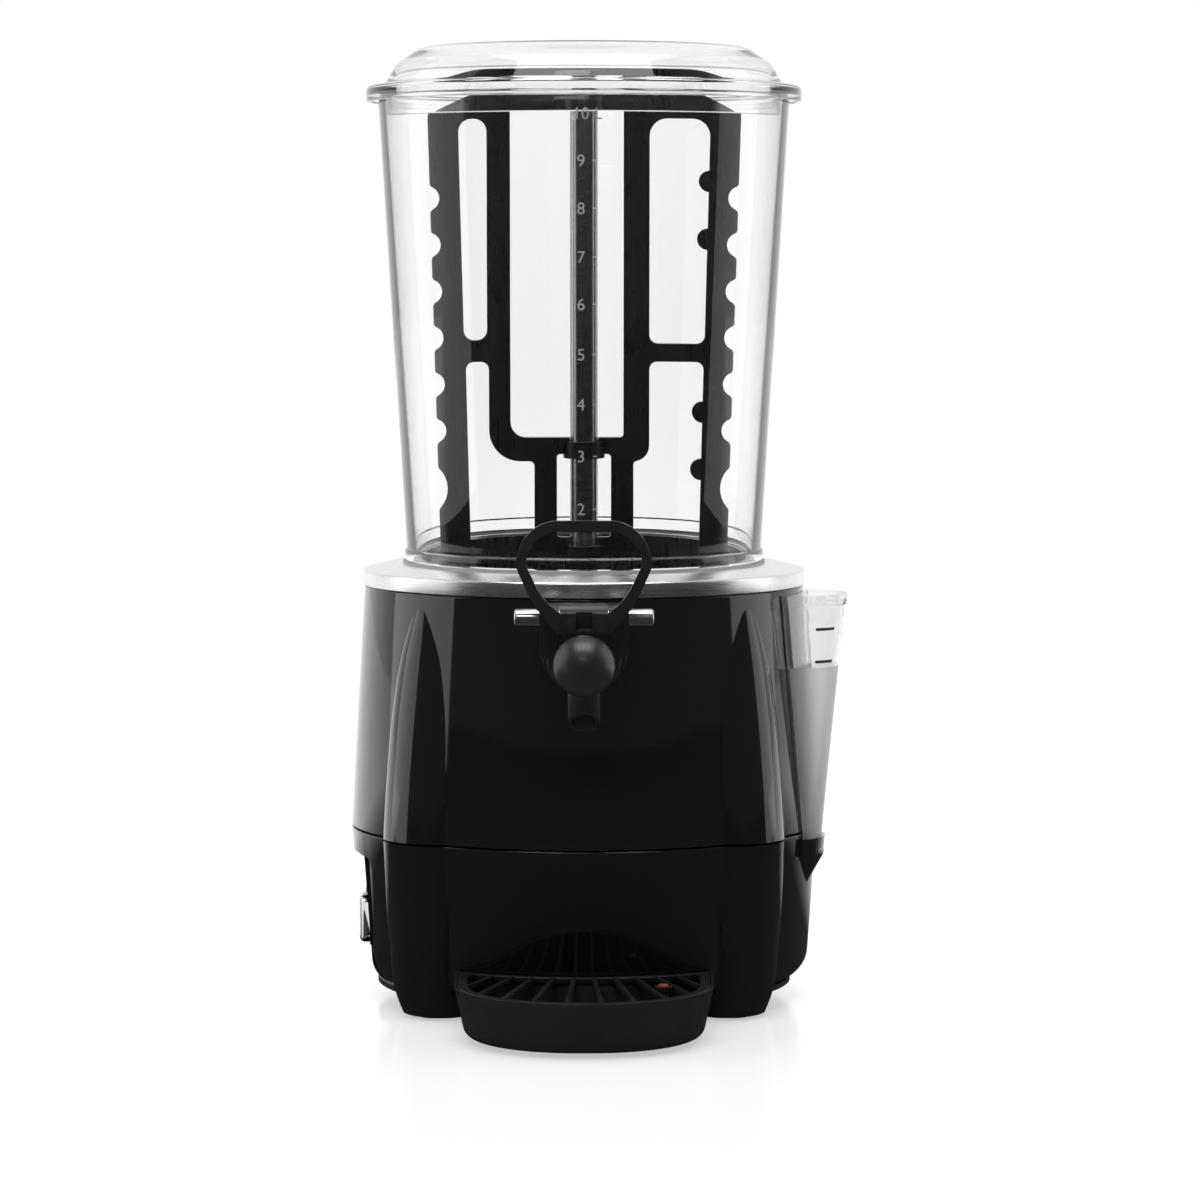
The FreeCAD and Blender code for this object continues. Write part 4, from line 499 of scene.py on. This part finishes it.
def copy_of(node, paint, slot, body, edge=0.0, steps=2, sharp=32, name=None):
    """A merged copy of a CAD node's loose triangles, with each sharp edge rounded by edge."""
    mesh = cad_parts[node].data.copy()
    work = bmesh.new()
    work.from_mesh(mesh)
    bmesh.ops.remove_doubles(work, verts=work.verts, dist=3e-6)
    work.to_mesh(mesh)
    work.free()
    made = piece(name or node + "_part", mesh, paint, body, slot, node, sharp=sharp)
    if edge:
        bevel = made.modifiers.new("edges", "BEVEL")
        bevel.width, bevel.segments, bevel.limit_method = edge, steps, "ANGLE"
        bevel.angle_limit, bevel.harden_normals = math.radians(38), True
    return made


tube_steel = brushed_steel("tube_steel", (0.30, 0.30, 0.30), (0.36, 0.36, 0.36), 0.16, 0.24, 700.0)
piece("steel_tube", skin("steel_tube", turned([(6.5, 178), (8, 178), (8, 506, 0.6), (6.5, 506)], columns=64)),
      tube_steel, "base", "steel", "center_tube")
piece("shaft_end", skin("shaft_end", turned([(0, 168), (4, 168), (4, 517, 0.8), (0, 517)], closed=False, columns=48)),
      steel, "agitator", "steel", "drive_shaft")
paddle_black = material("paddle_black_moulding", (0.008, 0.008, 0.0082), (0.012, 0.012, 0.0125), 0.26, 0.42,
                        haze=40.0, grain=2200.0, depth=0.00003)
copy_of("paddle", paddle_black, "satin_black", "agitator", edge=0.0011, steps=3)
white_nylon = material("white_nylon", (0.62, 0.62, 0.58), (0.72, 0.72, 0.68), 0.4, 0.55)
zinc = material("zinc_plate", (0.36, 0.36, 0.37), (0.5, 0.5, 0.5), 0.3, 0.5, haze=120.0, Metallic=0.9)
dress(white_nylon, "shaft_bushes", "thermostat", "terminal_block")
dress(zinc, "motor_bracket", "gearbox", "motor")

# Tap. A satin black barrel with a slotted block, a steel pin across it, and a lever with a finger loop above and
# a ball knob in front. The plunger inside shuts the spout, and in the real tap its spring shortens as the lever is
# pulled; here the spring is a copy with a mesh of its own, at one length.

copy_of("tap_body", satin_black, "satin_black", "base", edge=0.0006)
copy_of("tap_lever", satin_black, "satin_black", "tap_lever", edge=0.0016, steps=4)
dress(satin_black, "plunger")
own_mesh(copy_of("tap_spring", steel, "steel", "base"))
PIN_R, PIN_HALF, PIN_Y, PIN_Z = 4.85, 37.5, -172, 231
pin = turned([(0, -PIN_HALF), (PIN_R, -PIN_HALF, 1.5), (PIN_R, PIN_HALF, 1.5), (0, PIN_HALF)], closed=False,
             columns=64)
across = pin[0].copy()
pin[0][..., 0], pin[0][..., 1], pin[0][..., 2] = across[..., 2], across[..., 0] + PIN_Y, across[..., 1] + PIN_Z
piece("tap_crosspin", skin("tap_crosspin", pin), steel, "base", "steel", "tap_pin")
# The ball is (r sin p cos t, y - r cos p, z + r sin p sin t), cut flat where its neck begins.
BALL_R, BALL_Y, BALL_Z, NECK_Y = 16.5, -205.5, 208, -193.0
polar = np.concatenate([np.linspace(0, math.radians(139.2), 56), [math.pi]])[:, None]
turn = np.linspace(0, 2 * np.pi, 96, endpoint=False)[None]
ball_r = np.where(polar > 3, 0, BALL_R * np.sin(polar))
ball_y = np.where(polar > 3, NECK_Y, BALL_Y - BALL_R * np.cos(polar))
ball = np.stack([ball_r * np.cos(turn), ball_y + 0 * turn, BALL_Z + ball_r * np.sin(turn)], -1)
ball_black = material("ball_black_moulding", (0.015, 0.015, 0.0155), (0.02, 0.02, 0.0205), 0.3, 0.42, haze=60.0,
                      depth=0.00002)
piece("ball_knob", skin("ball_knob", (ball, True, False)), ball_black, "tap_lever", "satin_black", "tap_ball")

# Drip tray. A satin black dish with a round front that slides under the drum, a ribbed grille let into its rim,
# and a red float that rises through the grille when the tray is full.

copy_of("drip_tray", satin_black, "satin_black", "drip_tray", edge=0.0008)
copy_of("drip_grille", satin_black, "satin_black", "drip_grille", edge=0.0004)
float_red = material("red_float", (0.36, 0.03, 0.015), (0.45, 0.045, 0.02), 0.3, 0.45, haze=200.0)
copy_of("float", float_red, "float_red", "float", edge=0.0003)

# Water gauge. A clear wedge of a cup on the drum's right side shows the water in the bath. Its foot is a black
# socket on the lower cover, and two short lines on its wall mark the highest and lowest water.

gauge_plastic = bpy.data.materials.new("gauge_plastic")
gauge_plastic.use_nodes = True
tree = gauge_plastic.node_tree
shader = tree.nodes["Principled BSDF"]
spot = add(tree, "ShaderNodeTexCoord")
axes = add(tree, "ShaderNodeSeparateXYZ")
frost = add(tree, "ShaderNodeMapRange", in_1=0.1945, in_2=0.1930)
mist = add(tree, "ShaderNodeMix", data_type="FLOAT", in_2=0.03, in_3=0.35)
tint = add(tree, "ShaderNodeMix", data_type="RGBA", in_6=(0.97, 0.975, 0.98, 1), in_7=(0.90, 0.91, 0.92, 1))
wire(tree, (spot.outputs["Object"], axes.inputs[0]), (axes.outputs["Z"], frost.inputs[0]),
     (frost.outputs[0], mist.inputs[0]), (mist.outputs[0], shader.inputs["Roughness"]),
     (frost.outputs[0], tint.inputs[0]), (tint.outputs[2], shader.inputs["Base Color"]))
for socket, number in (("Transmission Weight", 0.93), ("IOR", 1.45)):
    shader.inputs[socket].default_value = number
copy_of("water_gauge", gauge_plastic, "clear_plastic", "base", edge=0.0004)
copy_of("gauge_socket", gloss_black, "gloss_black", "base")


def gauge_line(height):
    """A thin band on the gauge's front right wall: points on its oval, a hair proud of it, between two angles."""
    share = (height - 86) / 148.5
    turn = math.radians(15.5)
    out, along = np.array([math.cos(turn), -math.sin(turn)]), np.array([math.sin(turn), math.cos(turn)])
    t = np.linspace(-0.95, -0.42, 24)
    rows = [(-0.8, -0.2), (0.8, -0.2), (0.8, 0.12), (-0.8, 0.12)]
    grid = np.array([np.concatenate([
        drum_radius(height) * out + np.cos(t)[:, None] * (5 + 22.2 * share + proud) * out
        + np.sin(t)[:, None] * (18 + 10 * share + proud) * along, np.full((24, 1), height + lift)], 1)
        for lift, proud in rows])
    ends = grid[:, [0, -1]].mean(0)
    return np.concatenate([np.repeat(ends[None, :1], 4, 0), grid, np.repeat(ends[None, 1:], 4, 0)], 1), False, True


line_black = material("printed_black", (0.02, 0.02, 0.02), (0.03, 0.03, 0.03), 0.4, 0.55, haze=300.0)
piece("gauge_lines", skin("gauge_lines", gauge_line(215.5), gauge_line(197.1)), line_black, "base", "satin_black")

# Switch, thermostat and cord inlet. An amber rocker under a clear splash boot in a black frame, a fluted knob
# beside it in the same recess, and a plain gland at the back where the cord goes in.

copy_of("switch_frame", satin_black, "satin_black", "base", edge=0.0003)
# The rocker's faint amber emission is painted glow, which brightens it as if it were lit from within.
amber = material("amber_rocker", (0.80, 0.32, 0.05), (0.86, 0.4, 0.08), 0.12, 0.24, haze=100.0,
                 Emission_Color=(1.0, 0.4, 0.06, 1), Emission_Strength=0.25)
copy_of("rocker", amber, "amber", "rocker", edge=0.0003)
boot_plastic = clear("clear_boot_plastic", (0.95, 0.95, 0.94), 0.04, 0.12)
copy_of("switch_boot", boot_plastic, "clear_plastic", "base")
copy_of("thermostat_knob", satin_black, "satin_black", "thermostat_knob", edge=0.0002)
copy_of("cord_gland", satin_black, "satin_black", "base", edge=0.0003)
